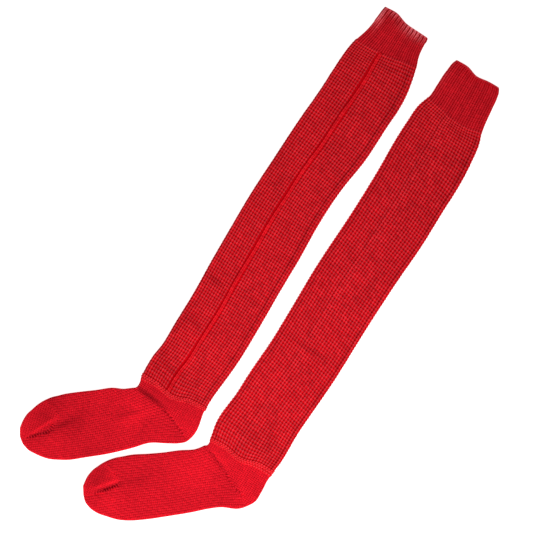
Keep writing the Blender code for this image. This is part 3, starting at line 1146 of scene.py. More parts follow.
class StitchChart:
    """Repeats a stitch over a flat chart with geometry nodes, then bends the chart round a sock.

    Attributes:
        mirrored: whether the chart is seen from its back, so that its faces have to be turned.
        wandering: how far wales and courses wander.
        crown: how high a stitch's yarn stands above the cloth's reference where it takes its full painted crown
            highlight.
        slant: how far courses run towards the toe, for each millimetre from the middle wale.
        paleness: how strong a pale painted highlight on the crowns is.
        swells: how much of its painted crown highlight a stitch loses between its swells.
        fold_drop: how far stitches sink at a fold.
        light: how much painted light the whole piece gets, as a share.
        pucker_shade: how much painted light and shade comes and goes from wale to wale, as puckers would cast.
        uneven: how much it differs from one half of a stitch to the next.
        proud: how far the stitches stand out of the form's skin on the layer that shows.
        proud_fade: how far from a fold they do so in full, as a share of the layer's width.
    """

    TREE = "stitch chart"
    SEED_STEP = 17.0  # from the seed of how stitches stray to the seed of how they lean
    mirrored = False
    wandering = 0.3
    crown = 0.55
    slant = 0.0
    paleness = 0.0
    swells = 0.0
    fold_drop = 0.0
    light = 1.0
    pucker_shade = 0.0
    uneven = 0.0
    proud = 0.6
    proud_fade = 0.06

    def __init__(self, form: SockForm, wales: Wales, wale: float, course: float) -> None:
        """Takes the sock's form, its wales, and a stitch's width and height."""
        self.form = form
        self.wales = wales
        self.wale = wale
        self.course = course
        self.first, self.step = 0.0, course

    @classmethod
    def tree(cls) -> bpy.types.NodeTree:
        """The node tree that repeats a stitch at each place, made once."""
        found = bpy.data.node_groups.get(cls.TREE)
        if found:
            return found
        desk = NodeDesk(bpy.data.node_groups.new(cls.TREE, "GeometryNodeTree"))
        kinds = {"Places": "Geometry", "Stitch": "Object", "Stray": "Float", "Lean": "Float"}
        kinds |= {"Height stray": "Float", "Seed": "Int", "Yarn": "Material"}
        given, made = desk.ends(kinds, {"Stitches": "Geometry"})

        stray = desk.add("ShaderNodeCombineXYZ", {"X": given["Stray"], "Y": given["Stray"], "Z": given["Height stray"]})
        limits = {"Min": (-1.0, -1.0, -1.0), "Max": (1.0, 1.0, 1.0)}
        away = desk.add("FunctionNodeRandomValue", {**limits, "Seed": given["Seed"]}, data_type="FLOAT_VECTOR")
        pair = {0: away.outputs["Value"], 1: stray.outputs["Vector"]}
        shift = desk.add("ShaderNodeVectorMath", pair, operation="MULTIPLY")
        moved = desk.add("GeometryNodeSetPosition", {"Geometry": given["Places"], "Offset": shift.outputs["Vector"]})

        next_seed = desk.maths("ADD", given["Seed"], cls.SEED_STEP)
        lean = desk.add("FunctionNodeRandomValue", {2: -1.0, 3: 1.0, "Seed": next_seed}, data_type="FLOAT")
        swing = desk.maths("MULTIPLY", lean.outputs[1], given["Lean"])
        heading = desk.add("GeometryNodeInputNamedAttribute", {"Name": "turn"}, data_type="FLOAT")
        turn = desk.add("ShaderNodeCombineXYZ", {"Z": desk.maths("ADD", swing, heading.outputs["Attribute"])})

        size = desk.add("GeometryNodeInputNamedAttribute", {"Name": "size"}, data_type="FLOAT_VECTOR")
        stitch = desk.add("GeometryNodeObjectInfo", {"As Instance": True, "Object": given["Stitch"]})
        where = {"Points": moved.outputs["Geometry"], "Instance": stitch.outputs["Geometry"]}
        how = {"Rotation": turn.outputs["Vector"], "Scale": size.outputs["Attribute"]}
        repeat = desk.add("GeometryNodeInstanceOnPoints", {**where, **how})

        tone = desk.add("FunctionNodeRandomValue", {"Seed": given["Seed"]}, data_type="FLOAT")
        kept = {"Name": "tone", "Geometry": repeat.outputs["Instances"], "Value": tone.outputs[1]}
        coloured = desk.add("GeometryNodeStoreNamedAttribute", kept, data_type="FLOAT", domain="INSTANCE")
        whole = desk.add("GeometryNodeRealizeInstances", {"Geometry": coloured.outputs["Geometry"]})
        yarn = {"Geometry": whole.outputs["Geometry"], "Material": given["Yarn"]}
        painted = desk.add("GeometryNodeSetMaterial", yarn)
        desk.fill(made, {"Stitches": painted.outputs["Geometry"]})
        return desk.tree

    def even_places(self, centres: np.ndarray, first: float, last: float) -> Places:
        """Places in straight courses, the same on every wale.

        Args:
            centres: the middles of the wales.
            first: where the knit starts, along the sock.
            last: where it ends.

        Returns:
            The places of the stitches.
        """
        count = max(1, round((last - first) / self.course))
        step = (last - first) / count
        self.first, self.step = first, step
        lengths = first + (np.arange(count) + 0.5) * step
        wale, along = np.meshgrid(centres, lengths)
        places = Places.full(wale.ravel() * self.wale, along.ravel())
        places.long = places.long * step / self.course
        return places

    def knit(
        self, name: str, shape: StitchShape, places: Places, yarn: bpy.types.Material, seed: int,
        stray: float = 0.12, lean: float = 0.05,
    ) -> bpy.types.Object:
        """Makes the stitches of one piece as a plain mesh on the sock.

        Args:
            name: the piece's name.
            shape: the stitch.
            places: where the stitches go.
            yarn: the material.
            seed: fixes how the stitches stray.
            stray: how far a stitch strays on the chart.
            lean: how far a stitch leans, in radians.

        Returns:
            The piece, with its place in its mesh.
        """
        count = len(places.across)
        chart = np.stack((places.across, places.along, np.zeros(count)), axis=1) * MM
        carrier_mesh = bpy.data.meshes.new(f"{name}_places")
        carrier_mesh.from_pydata(chart.tolist(), [], [])
        sizes = carrier_mesh.attributes.new("size", "FLOAT_VECTOR", "POINT")
        scale = np.stack((places.wide, places.long, np.ones(count)), axis=1)
        sizes.data.foreach_set("vector", scale.astype(np.float32).ravel())
        note(carrier_mesh, "turn", places.turn)
        carrier = placed(f"{name}_places", carrier_mesh)
        stitch = stitch_object(shape, self.wale, self.course)
        modifier = carrier.modifiers.new("stitches", "NODES")
        modifier.node_group = self.tree()
        given = {"Stitch": stitch, "Stray": stray * MM, "Lean": lean, "Height stray": stray * MM * HEIGHT_STRAY}
        given |= {"Seed": seed, "Yarn": yarn}
        for item in modifier.node_group.interface.items_tree:
            if item.name in given:
                modifier[item.identifier] = given[item.name]
        graph = bpy.context.evaluated_depsgraph_get()
        mesh = bpy.data.meshes.new_from_object(
            carrier.evaluated_get(graph), preserve_all_data_layers=True, depsgraph=graph
        )
        mesh.name = name
        bpy.data.objects.remove(carrier)
        bpy.data.objects.remove(stitch)
        self.bend(mesh)
        log.info("%s: %d stitches, %d triangles", name, count, count_triangles(mesh))
        return placed(name, mesh)

    def bend(self, mesh: bpy.types.Mesh) -> None:
        """Bends a mesh on the flat chart round the sock, and keeps each point's crown share, painted light and shade
        and painted highlight for its material.

        Args:
            mesh: the stitches on the flat chart.
        """
        flat = np.empty(len(mesh.vertices) * 3, np.float32)
        mesh.vertices.foreach_get("co", flat)
        flat = flat.reshape(-1, 3).astype(float) / MM
        around, along = self.where(wander(flat, self.wandering))
        showing = np.mod(around, 2.0) < 1.0
        rest = np.where(showing, self.rise_above(around), UNDER_REST)
        rest = rest - self.fold_drop * self.form.at_fold(around, along)
        places = self.form.skin(around, along, flat[:, 2] + rest)
        mesh.vertices.foreach_set("co", places.astype(np.float32).ravel())
        own = self.form.opened(np.clip(around, -0.1, 1.1), along)
        sunk = self.form.relief(own) + self.form.furrow(around, along)
        shade = self.patchy(flat, along, self.form.shade(own, sunk, around, along))
        top = self.height_share(flat)
        pale = np.where(showing, self.highlight_streaks(flat, own, top), 0.0)
        # By the crown share the material paints a highlight on the crowns and a shade colour deep down, and it
        # multiplies in the painted light and shade and the pale painted highlight
        note(mesh, "depth", top)
        note(mesh, "shade", self.light * shade * (1.0 + LIGHT_OF_HIGHLIGHT * pale))
        note(mesh, "bloom", pale)
        if self.mirrored:
            mesh.flip_normals()
        mesh.update()

    def height_share(self, flat: np.ndarray) -> np.ndarray:
        """How high on its stitch each point is, from 0 deep down to 1 on the crown.

        Args:
            flat: places on the chart.

        Returns:
            One share for each place.
        """
        # The material paints a highlight on the crowns and a shade colour deep down by this share
        top = np.clip(1.0 + (flat[:, 2] - self.crown) / CROWN_DEPTH, 0.0, 1.0) ** CROWN_CURVE
        if self.swells:
            top *= 1.0 - self.swells * (0.5 + 0.5 * np.cos(2 * np.pi * (flat[:, 1] - self.first) / self.step))
        return top

    def patchy(self, flat: np.ndarray, along: np.ndarray, shade: np.ndarray) -> np.ndarray:
        """Adds painted light and shade that comes and goes from wale to wale, and a tone that differs at random from
        stitch to stitch.

        Args:
            flat: places on the chart.
            along: the length from the rim.
            shade: how much light each place keeps.

        Returns:
            How much it keeps after it.
        """
        if self.pucker_shade:
            # Painted light and shade in two waves across the wales, of 15 and 7 mm, which drift along them
            drift = 0.41 * flat[:, 0] + 0.6 * np.sin(along / 17.0)
            shade = shade + self.pucker_shade * np.sin(drift) * np.sin(2.3 * drift + 1.0)
        if self.uneven:
            column = np.floor(2.0 * flat[:, 0] / self.wale)
            course = np.round((flat[:, 1] - self.first) / self.step)
            shade = shade * (1.0 + self.uneven * (2.0 * chance(column, course) - 1.0))
        return shade

    def highlight_streaks(self, flat: np.ndarray, own: np.ndarray, top: np.ndarray) -> np.ndarray:
        """How strong the pale painted highlight is, in streaks along the wales.

        Args:
            flat: places on the chart.
            own: the same places as down and over.
            top: how high on its stitch each one is.

        Returns:
            One share for each place.
        """
        between = 0.5 + 0.5 * np.cos(2 * np.pi * (flat[:, 0] / self.wale - self.wales.first))
        # Painted highlight streaks 1.7 mm apart, which waver along the wales
        streak = 0.65 + 0.35 * np.sin(flat[:, 0] * 1.9 + np.sin(flat[:, 1] / 5) * 0.8) ** 2
        return self.form.bloom(own) * np.sqrt(top) * (1.0 - between) * streak + self.paleness * top

    def where(self, flat: np.ndarray) -> tuple:
        """Where on the sock each place of the chart falls.

        Args:
            flat: places on the chart.

        Returns:
            Where round the sock each one is, and its length from the rim.
        """
        around = self.wales.around(flat[:, 0] / self.wale)
        along = flat[:, 1]
        start, end = self.form.leg_span
        fade = np.clip((along - start) / SLANT_FADE, 0.0, 1.0) * np.clip((end - along) / SLANT_FADE, 0.0, 1.0)
        across = (np.minimum(around, 2.0 - around) - 0.5) * self.wale * self.wales.above
        along = along + self.slant * across * fade * fade * (3.0 - 2.0 * fade)
        return around, np.clip(along, -3.0, self.form.knots[-1] - 0.05)

    def rise_above(self, around: np.ndarray) -> np.ndarray:
        """How far the stitches stand out of the form's skin on the layer that shows."""
        from_fold = np.minimum(around, 1.0 - around) / self.proud_fade
        return self.proud * np.sin(np.pi * np.clip(from_fold, 0.0, 1.0) / 2)


class PlaneChart(StitchChart):
    """A chart laid straight on one layer of the sock: its X is over, and its Y is down."""

    wandering = 0.25
    crown = 0.0
    LINE_PARTS = 60  # how finely a fan's lines are read
    MISS = 0.3  # how far a search may miss its place

    def __init__(self, form: SockForm, side: Side, wale: float, course: float) -> None:
        """Takes the sock's form, the layer, and a stitch's width and height."""
        super().__init__(form, Wales(1, 1), wale, course)
        self.mirrored = side is Side.UNDER

    def where(self, flat: np.ndarray) -> tuple:
        """Where on the sock each place of the chart falls.

        Args:
            flat: places on the chart.

        Returns:
            Where round the sock each one is, and its length from the rim.
        """
        around, along, _ = self.form.find(flat[:, (1, 0)])
        return (2.0 - around if self.mirrored else around), along

    def fan_places(self, fan: Fan, first: float, last: float) -> Places:
        """Places on wales that run between a fan's two lines, on one stretch of the sock.

        Args:
            fan: the two lines.
            first: where the stretch starts, along the sock.
            last: where it ends.

        Returns:
            The places of the stitches.
        """
        parts = np.linspace(0.0, 1.0, self.LINE_PARTS)
        front, _ = line_places(fan.front, parts)
        back, _ = line_places(fan.back, parts)
        rows = []
        for number in range(-fan.more, fan.wales + fan.more):
            share = (number + 0.5) / fan.wales
            path = front * (1 - share) + back * share
            run = lengths_along(path)
            count = max(1, round(run[-1] / self.course))
            at = (np.arange(count) + 0.5) / count * run[-1]
            columns = (*path.T, *np.gradient(path, axis=0).T, *((back - front) / fan.wales).T)
            down, over, way_down, way_over, gap_down, gap_over = (np.interp(at, run, values) for values in columns)
            turn = np.arctan2(-way_over, way_down)
            pitch = np.abs(gap_over * way_down - gap_down * way_over) / np.hypot(way_down, way_over)
            step = np.full(count, run[-1] / count / self.course)
            rows.append(np.stack((over, down, turn, pitch / self.wale, step)))
        found = Places(*np.concatenate(rows, axis=1))
        around, along, miss = self.form.find(found.flat)
        return found.kept((miss < self.MISS) & (around > 0.0) & (around < 1.0) & (along > first) & (along < last))


@dataclass(frozen=True)
class YarnFinish:
    """A yarn: its colours, with a painted highlight on the crowns, a painted shade colour deep down and a pale painted
    highlight, its gloss, the fuzz on it and its twisted plies.
    """

    name: str
    colour: tuple
    deep: tuple = (0.56, 0.0006, 0.004)
    pale: tuple = (0.85, 0.34, 0.38)
    roughness: float = 0.5
    gloss: float = 0.012
    fuzz: float = 0.005
    fuzz_tint: tuple = (1.0, 0.45, 0.45)
    fuzz_roughness: float = 0.5
    ply_turn: float = 2.6
    ply_rise: float = 0.00022
    ply_strength: float = 0.6

    GROUP = "dyed yarn"

    @classmethod
    def group(cls) -> bpy.types.NodeTree:
        """The shared node group that colours yarn: deep parts darker, a painted shade; crowns and pale patches lighter,
        a painted highlight; painted light and shade from the shade share; stitches uneven, plies twisted.
        """
        found = bpy.data.node_groups.get(cls.GROUP)
        if found:
            return found
        desk = NodeDesk(bpy.data.node_groups.new(cls.GROUP, "ShaderNodeTree"))
        kinds = {"Place": "Vector", "Dye": "Color", "Deep dye": "Color", "Pale dye": "Color"}
        kinds |= {"Roughness": "Float", "Ply turn": "Float"}
        given, made = desk.ends(kinds, {"Colour": "Color", "Roughness": "Float", "Height": "Float"})
        tone, depth, bloom, shade = (
            desk.add("ShaderNodeAttribute", attribute_type="GEOMETRY", attribute_name=name).outputs["Fac"]
            for name in ("tone", "depth", "bloom", "shade")
        )
        broad, fine = (
            desk.add("ShaderNodeTexNoise", {"Scale": scale, "Detail": detail, "Vector": given["Place"]}).outputs["Fac"]
            for scale, detail in ((26.0, 2.0), (900.0, 3.0))
        )

        # Light differs from stitch to stitch, and in broad and fine clouds
        light = desk.maths("MULTIPLY_ADD", tone, 0.16, 0.92)
        for cloud, share, least in ((broad, 0.2, 0.9), (fine, 0.14, 0.93)):
            swell = desk.maths("ADD", desk.maths("MULTIPLY", cloud, share), least)
            light = desk.maths("MULTIPLY", light, swell)
        # The painted light and shade that each point keeps
        light = desk.maths("MULTIPLY", light, shade)
        # Painted shade colour deep down, painted crown highlight on top, and the pale painted highlight over both
        crown_lit = desk.add("ShaderNodeMix", {"Factor": depth, 6: given["Deep dye"], 7: given["Dye"]}, data_type="RGBA")
        mixed = {"Factor": bloom, 6: crown_lit.outputs[2], 7: given["Pale dye"]}
        coloured = desk.add("ShaderNodeMix", mixed, data_type="RGBA")
        scaled = desk.add("ShaderNodeVectorMath", {0: coloured.outputs[2], "Scale": light}, operation="SCALE")

        grain = desk.maths("MULTIPLY", desk.maths("SUBTRACT", fine, 0.5), 0.2)
        rough = desk.maths("ADD", given["Roughness"], grain)

        # Two plies twist along the yarn, with fine fibres on them
        yarn = desk.add("ShaderNodeUVMap", uv_map="yarn")
        parts = desk.add("ShaderNodeSeparateXYZ", {"Vector": yarn.outputs["UV"]}).outputs
        turns = desk.maths("DIVIDE", parts["Y"], given["Ply turn"])
        turns = desk.maths("ADD", desk.maths("MULTIPLY", parts["X"], 2.0), turns)
        ply = desk.maths("MULTIPLY", desk.maths("SINE", desk.maths("MULTIPLY", turns, 2 * math.pi)), 0.5)
        height = desk.maths("ADD", ply, desk.maths("MULTIPLY", fine, 0.9))
        desk.fill(made, {"Colour": scaled.outputs["Vector"], "Roughness": rough, "Height": height})
        return desk.tree

    def material(self) -> bpy.types.Material:
        """The Principled material of this yarn, made once."""
        found = bpy.data.materials.get(self.name)
        if found:
            return found
        material = bpy.data.materials.new(self.name)
        material.use_nodes = True
        desk = NodeDesk(material.node_tree)
        # The crown colour carries a pinker painted highlight, the shaded colour a painted shade, and the pale colour a
        # pale painted highlight
        colours = {"Dye": self.colour, "Pale dye": self.pale, "Deep dye": self.deep}
        dye_values = {name: (*colour, 1.0) for name, colour in colours.items()}
        dye_values |= {"Roughness": self.roughness, "Ply turn": self.ply_turn}
        dye_values["Place"] = desk.add("ShaderNodeTexCoord").outputs["Object"]
        dye = desk.add("ShaderNodeGroup", node_tree=self.group())
        desk.fill(dye, dye_values)
        plies = {"Strength": self.ply_strength, "Distance": self.ply_rise, "Height": dye.outputs["Height"]}
        bump = desk.add("ShaderNodeBump", plies)
        values = {
            "Base Color": dye.outputs["Colour"],
            "Roughness": dye.outputs["Roughness"],
            "Normal": bump.outputs["Normal"],
            "Specular IOR Level": self.gloss,
            "Sheen Weight": self.fuzz,
            "Sheen Roughness": self.fuzz_roughness,
            "Sheen Tint": (*self.fuzz_tint, 1.0),
        }
        desk.fill(material.node_tree.nodes["Principled BSDF"], values)
        return material


# Each yarn's crown colour is pinker, a painted highlight, and its shaded colour is the saturated red of its hollows,
# painted as in shade
RIB_YARN = YarnFinish("rib_yarn", (0.62, 0.017, 0.03), deep=(0.66, 0.002, 0.007))
TUCK_YARN = YarnFinish("tuck_yarn", (0.66, 0.052, 0.069), deep=(0.7, 0.0006, 0.006))
PLAIN_YARN = YarnFinish("plain_yarn", (0.8, 0.018, 0.036), deep=(0.84, 0.006, 0.018))


@dataclass(kw_only=True)
class Stretch:
    """One stretch of a sock between two sections: its cloth and its stitches.

    Attributes:
        name: what its pieces' names have in common.
        first: the section where it starts.
        last: the section where it ends.
        slot: the slot of its looks; not used.
        finish: its yarn.
        inset: how far its cloth lies inside the form's own skin.
        spacing: how far apart the rings of its cloth are.
        fine: how many points a ring has.
        wales: how its wales fall round the sock.
        wale: the width of a wale.
        course: the height of a course.
        hollow_last: the section where its hollow ends, if it is closed.
        fold_fill: how much further out its cloth is at a fold.
    """

    name: str
    first: str
    last: str
    slot: str
    finish: YarnFinish
    inset: float
    spacing: float
    fine: int
    wales: Wales
    wale: float
    course: float
    hollow_last: str = ""
    fold_fill: float = 0.0

    END_GAP = 0.01  # what is left free at both ends
    SHARP_EDGE = 60  # in degrees

    def span(self, form: SockForm) -> tuple:
        """Where the stretch starts and ends along the sock."""
        return form.along(self.first), form.along(self.last)

    def chart(self, form: SockForm) -> StitchChart:
        """The chart that this stretch's stitches are set out on."""
        return StitchChart(form, self.wales, self.wale, self.course)

    def knit(
        self, chart: StitchChart, part: str, shape: StitchShape, places: Places, seed: int, **way: float
    ) -> bpy.types.Object:
        """Makes one piece of this stretch.

        Args:
            chart: the chart that it is set out on.
            part: the end of its name.
            shape: the stitch.
            places: where the stitches go.
            seed: fixes how the stitches stray.
            way: how far a stitch strays and leans, where that isn't the usual.

        Returns:
            The piece.
        """
        name = f"{chart.form.lie.name}_{self.name}_{part}"
        return chart.knit(name, shape, places, self.finish.material(), seed, **way)

    def wall(self, form: SockForm) -> bpy.types.Mesh:
        """The cloth as a thin closed wall, with its painted light and shade at each point.

        Args:
            form: the sock's form.

        Returns:
            The cloth's mesh.
        """
        start, end = self.span(form)
        rows = max(2, round((end - start) / self.spacing))
        stations = np.linspace(start + self.END_GAP, end - self.END_GAP, rows + 1)
        around = np.linspace(0.0, 2.0, self.fine, endpoint=False)
        ring, length = (grid.ravel() for grid in np.meshgrid(around, stations))
        outer = self._grid(form, around, stations, -self.inset + self.fold_fill * form.at_fold(ring, length))
        own = form.opened(np.minimum(ring, 2.0 - ring), length)
        sunk = form.relief(own) + form.furrow(ring, length)
        # Painted shade on the cloth in the rows of small holes
        for row in form.lie.eyelets:
            sunk -= EYELET_SHADE * bell(away_from_eyelets(own, row), row.gap)
        shade = form.shade(own, sunk, ring, length)
        inner_end = form.along(self.hollow_last) if self.hollow_last else stations[-1]
        inner_stations = np.linspace(stations[0], inner_end, max(2, rows // INNER_STEP) + 1)
        thick = form.row(inner_stations)[:, THICK]
        inner = self._grid(form, around[::INNER_STEP], inner_stations, -(thick - HOLLOW) / 2, inner=True)
        points = [outer.reshape(-1, 3), inner.reshape(-1, 3)]
        base, count, few = len(points[0]), self.fine, self.fine // INNER_STEP
        faces = []
        for low, size, rings, inward in ((0, count, len(outer), False), (base, few, len(inner), True)):
            for row in range(rings - 1):
                faces.extend(self._band(low + row * size, low + (row + 1) * size, size, inward))
        last, last_inner = (len(outer) - 1) * count, base + (len(inner) - 1) * few
        faces.extend(self._edge(0, base, count, False))
        if self.hollow_last:
            points.append(np.stack((outer[-1].mean(axis=0), inner[-1].mean(axis=0))))
            tip = last_inner + few
            faces.extend((last + step, last + (step + 1) % count, tip) for step in range(count))
            faces.extend((last_inner + (step + 1) % few, last_inner + step, tip + 1) for step in range(few))
        else:
            faces.extend(self._edge(last, last_inner, count, True))
        mesh = bpy.data.meshes.new(f"{form.lie.name}_{self.name}_cloth")
        mesh.from_pydata(np.concatenate(points).tolist(), [], faces)
        # The cloth takes the painted shade colour all over, and its outer face gets painted light and shade
        note(mesh, "depth", np.zeros(len(mesh.vertices)))
        note(mesh, "shade", np.concatenate((shade, np.ones(len(mesh.vertices) - len(shade)))))
        mesh.materials.append(self.finish.material())
        mesh.shade_smooth()
        mesh.set_sharp_from_angle(angle=math.radians(self.SHARP_EDGE))
        return mesh

    @staticmethod
    def _edge(outer: int, inner: int, count: int, last: bool) -> list:
        """Faces that close an open end, each from one step of the inner ring to several of the outer one.

        Args:
            outer: the number of the outer ring's first point.
            inner: the same of the inner ring.
            count: how many points the outer ring has.
            last: whether this is the end towards the toe.

        Returns:
            The faces.
        """
        faces = []
        few = count // INNER_STEP
        for step in range(few):
            rim = [outer + (step * INNER_STEP + part) % count for part in range(INNER_STEP + 1)]
            face = (inner + (step + 1) % few, inner + step, *rim)
            faces.append(face[::-1] if last else face)
        return faces

    @staticmethod
    def _grid(
        form: SockForm, around: np.ndarray, stations: np.ndarray, out: np.ndarray, inner: bool = False
    ) -> np.ndarray:
        """Places on the form.

        Args:
            form: the sock's form.
            around: where round the sock the points of a ring are.
            stations: where along the sock the rings are.
            out: how far outside the form's own skin each place or each ring is.
            inner: whether these are places on the wall's inner face.

        Returns:
            X, Y and Z in metres for each point of each ring.
        """
        ring, along = np.meshgrid(around, stations)
        if np.size(out) != ring.size:
            out = np.broadcast_to(np.reshape(out, (-1, 1)), ring.shape)
        flat = form.skin(ring.ravel(), along.ravel(), np.ravel(out), inner)
        return flat.reshape(len(stations), len(around), 3)

    @staticmethod
    def _band(low: int, high: int, count: int, inward: bool) -> list:
        """Faces between two rings.

        Args:
            low: the number of the first ring's first point.
            high: the same of the second ring.
            count: how many points a ring has.
            inward: whether the faces look into the tube.

        Returns:
            The faces.
        """
        faces = []
        for step in range(count):
            after = (step + 1) % count
            face = (low + step, low + after, high + after, high + step)
            faces.append(face[::-1] if inward else face)
        return faces

    def cut_size(self, form: SockForm) -> tuple:
        """The size of the whole cut.

        Args:
            form: the sock's form.

        Returns:
            How wide it is all round the tube and how long, in metres, and its area.
        """
        start, end = self.span(form)
        stations = np.linspace(start, end, 24)
        row = form.row(stations)
        width = np.linalg.norm(row[:, BACK] - row[:, FRONT], axis=1)
        girth = 2 * (width - row[:, THICK]) + np.pi * row[:, THICK]
        area = float(np.trapz(girth, stations))
        return float(girth.max()) * MM, (end - start) * MM, area * MM * MM

    def build(self, form: SockForm) -> list:
        """Makes the cloth and the stitches, hides the CAD part that they dress, and logs the cloth's triangles and cut
        size.

        Args:
            form: the sock's form.

        Returns:
            The finished pieces.
        """
        mesh = self.wall(form)
        cloth = placed(mesh.name, mesh)
        stitches = self.stitches(form)
        girth, length, area = self.cut_size(form)
        for piece in (cloth, *stitches):
            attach(piece, "root")
        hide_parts(f"{form.lie.name}_{self.name}")
        area = min(area, girth * length)
        log.info("%s: %d triangles, cut %.0f x %.0f mm", cloth.name, count_triangles(mesh), girth / MM, length / MM)
        return [cloth, *stitches]

    def stitches(self, form: SockForm) -> list:
        """The stitches that stand on the cloth."""
        raise NotImplementedError


@dataclass(kw_only=True)
class Cuff(Stretch):
    """The cuff: one-by-one rib, open at its rim."""

    name: str = "cuff"
    first: str = "rim"
    last: str = "cuff_base"
    slot: str = "ribbed_knit"
    finish: YarnFinish = RIB_YARN
    inset: float = 0.75
    spacing: float = 3.0
    fine: int = 168
    wale: float = 5.4
    course: float = 2.3
    # The ribs' yarn, its height above the cloth's reference, and where the first course starts
    rib_radius: float = 1.3
    rib_height: float = -1.25
    rib_spread: float = 0.25
    rib_start: float = 0.4
    # How much narrower ribs are at the rim, then its cord, its dips at the ribs and its points for each rib
    rim_squeeze: float = 0.16
    rim_radius: float = 1.25
    rim_height: float = -1.15
    rim_dip: float = 0.2
    rim_start: float = 0.3
    rim_parts: int = 6

    def stitches(self, form: SockForm) -> list:
        """A column of plain stitches on every rib, with a deep furrow between ribs.

        Args:
            form: the sock's form.

        Returns:
            The pieces.
        """
        chart = self.chart(form)
        # The painted crown highlight sits on the ribs' own tops, and painted light and shade comes and goes from wale
        # to wale
        chart.crown = 0.05
        chart.pucker_shade = 0.13
        start, end = self.span(form)
        made = []
        for side in Side:
            upper = side is Side.UPPER
            shape = plain_shape(
                "rib_stitch", self.rib_radius, 5 if upper else 3, self.rib_height, self.rib_spread, upper,
                pinch=1.0, bulge=0.08, ends=1.0,
            )
            places = chart.even_places(self.wales.centres(side), start + self.rib_start, end)
            near_rim = np.clip(1.0 - (places.along - start) / RIM_DEPTH, 0.0, 1.0)
            places.wide = places.wide * (1.0 - self.rim_squeeze * near_rim)
            made.append(self.knit(chart, f"ribs_{side.value}", shape, places, seed=3, stray=0.06, lean=0.02))
        made.append(self.rim(chart, start))
        return made

    def rim(self, chart: StitchChart, start: float) -> bpy.types.Object:
        """The rolled edge, which is one cord that runs all round the rim.

        Args:
            chart: the ribs' chart.
            start: where the cuff starts.

        Returns:
            The piece.
        """
        rows = []
        for number in range(self.wales.count * self.rim_parts + 2):
            wale = number / self.rim_parts
            low = 0.5 + 0.5 * math.cos(2 * math.pi * (wale - self.wales.first) * 2.0)
            rows.append((wale, 0.0, self.rim_height - self.rim_dip * low, 1.0))
        shape = StitchShape("rim_cord", (Strand(tuple(rows), 6),), self.rim_radius)
        # A faint pale painted highlight on the rim cord's crowns
        chart.paleness = 0.04
        places = Places.full(np.zeros(1), np.array((start + self.rim_start,)))
        return self.knit(chart, "rim", shape, places, seed=4, stray=0.0, lean=0.0)


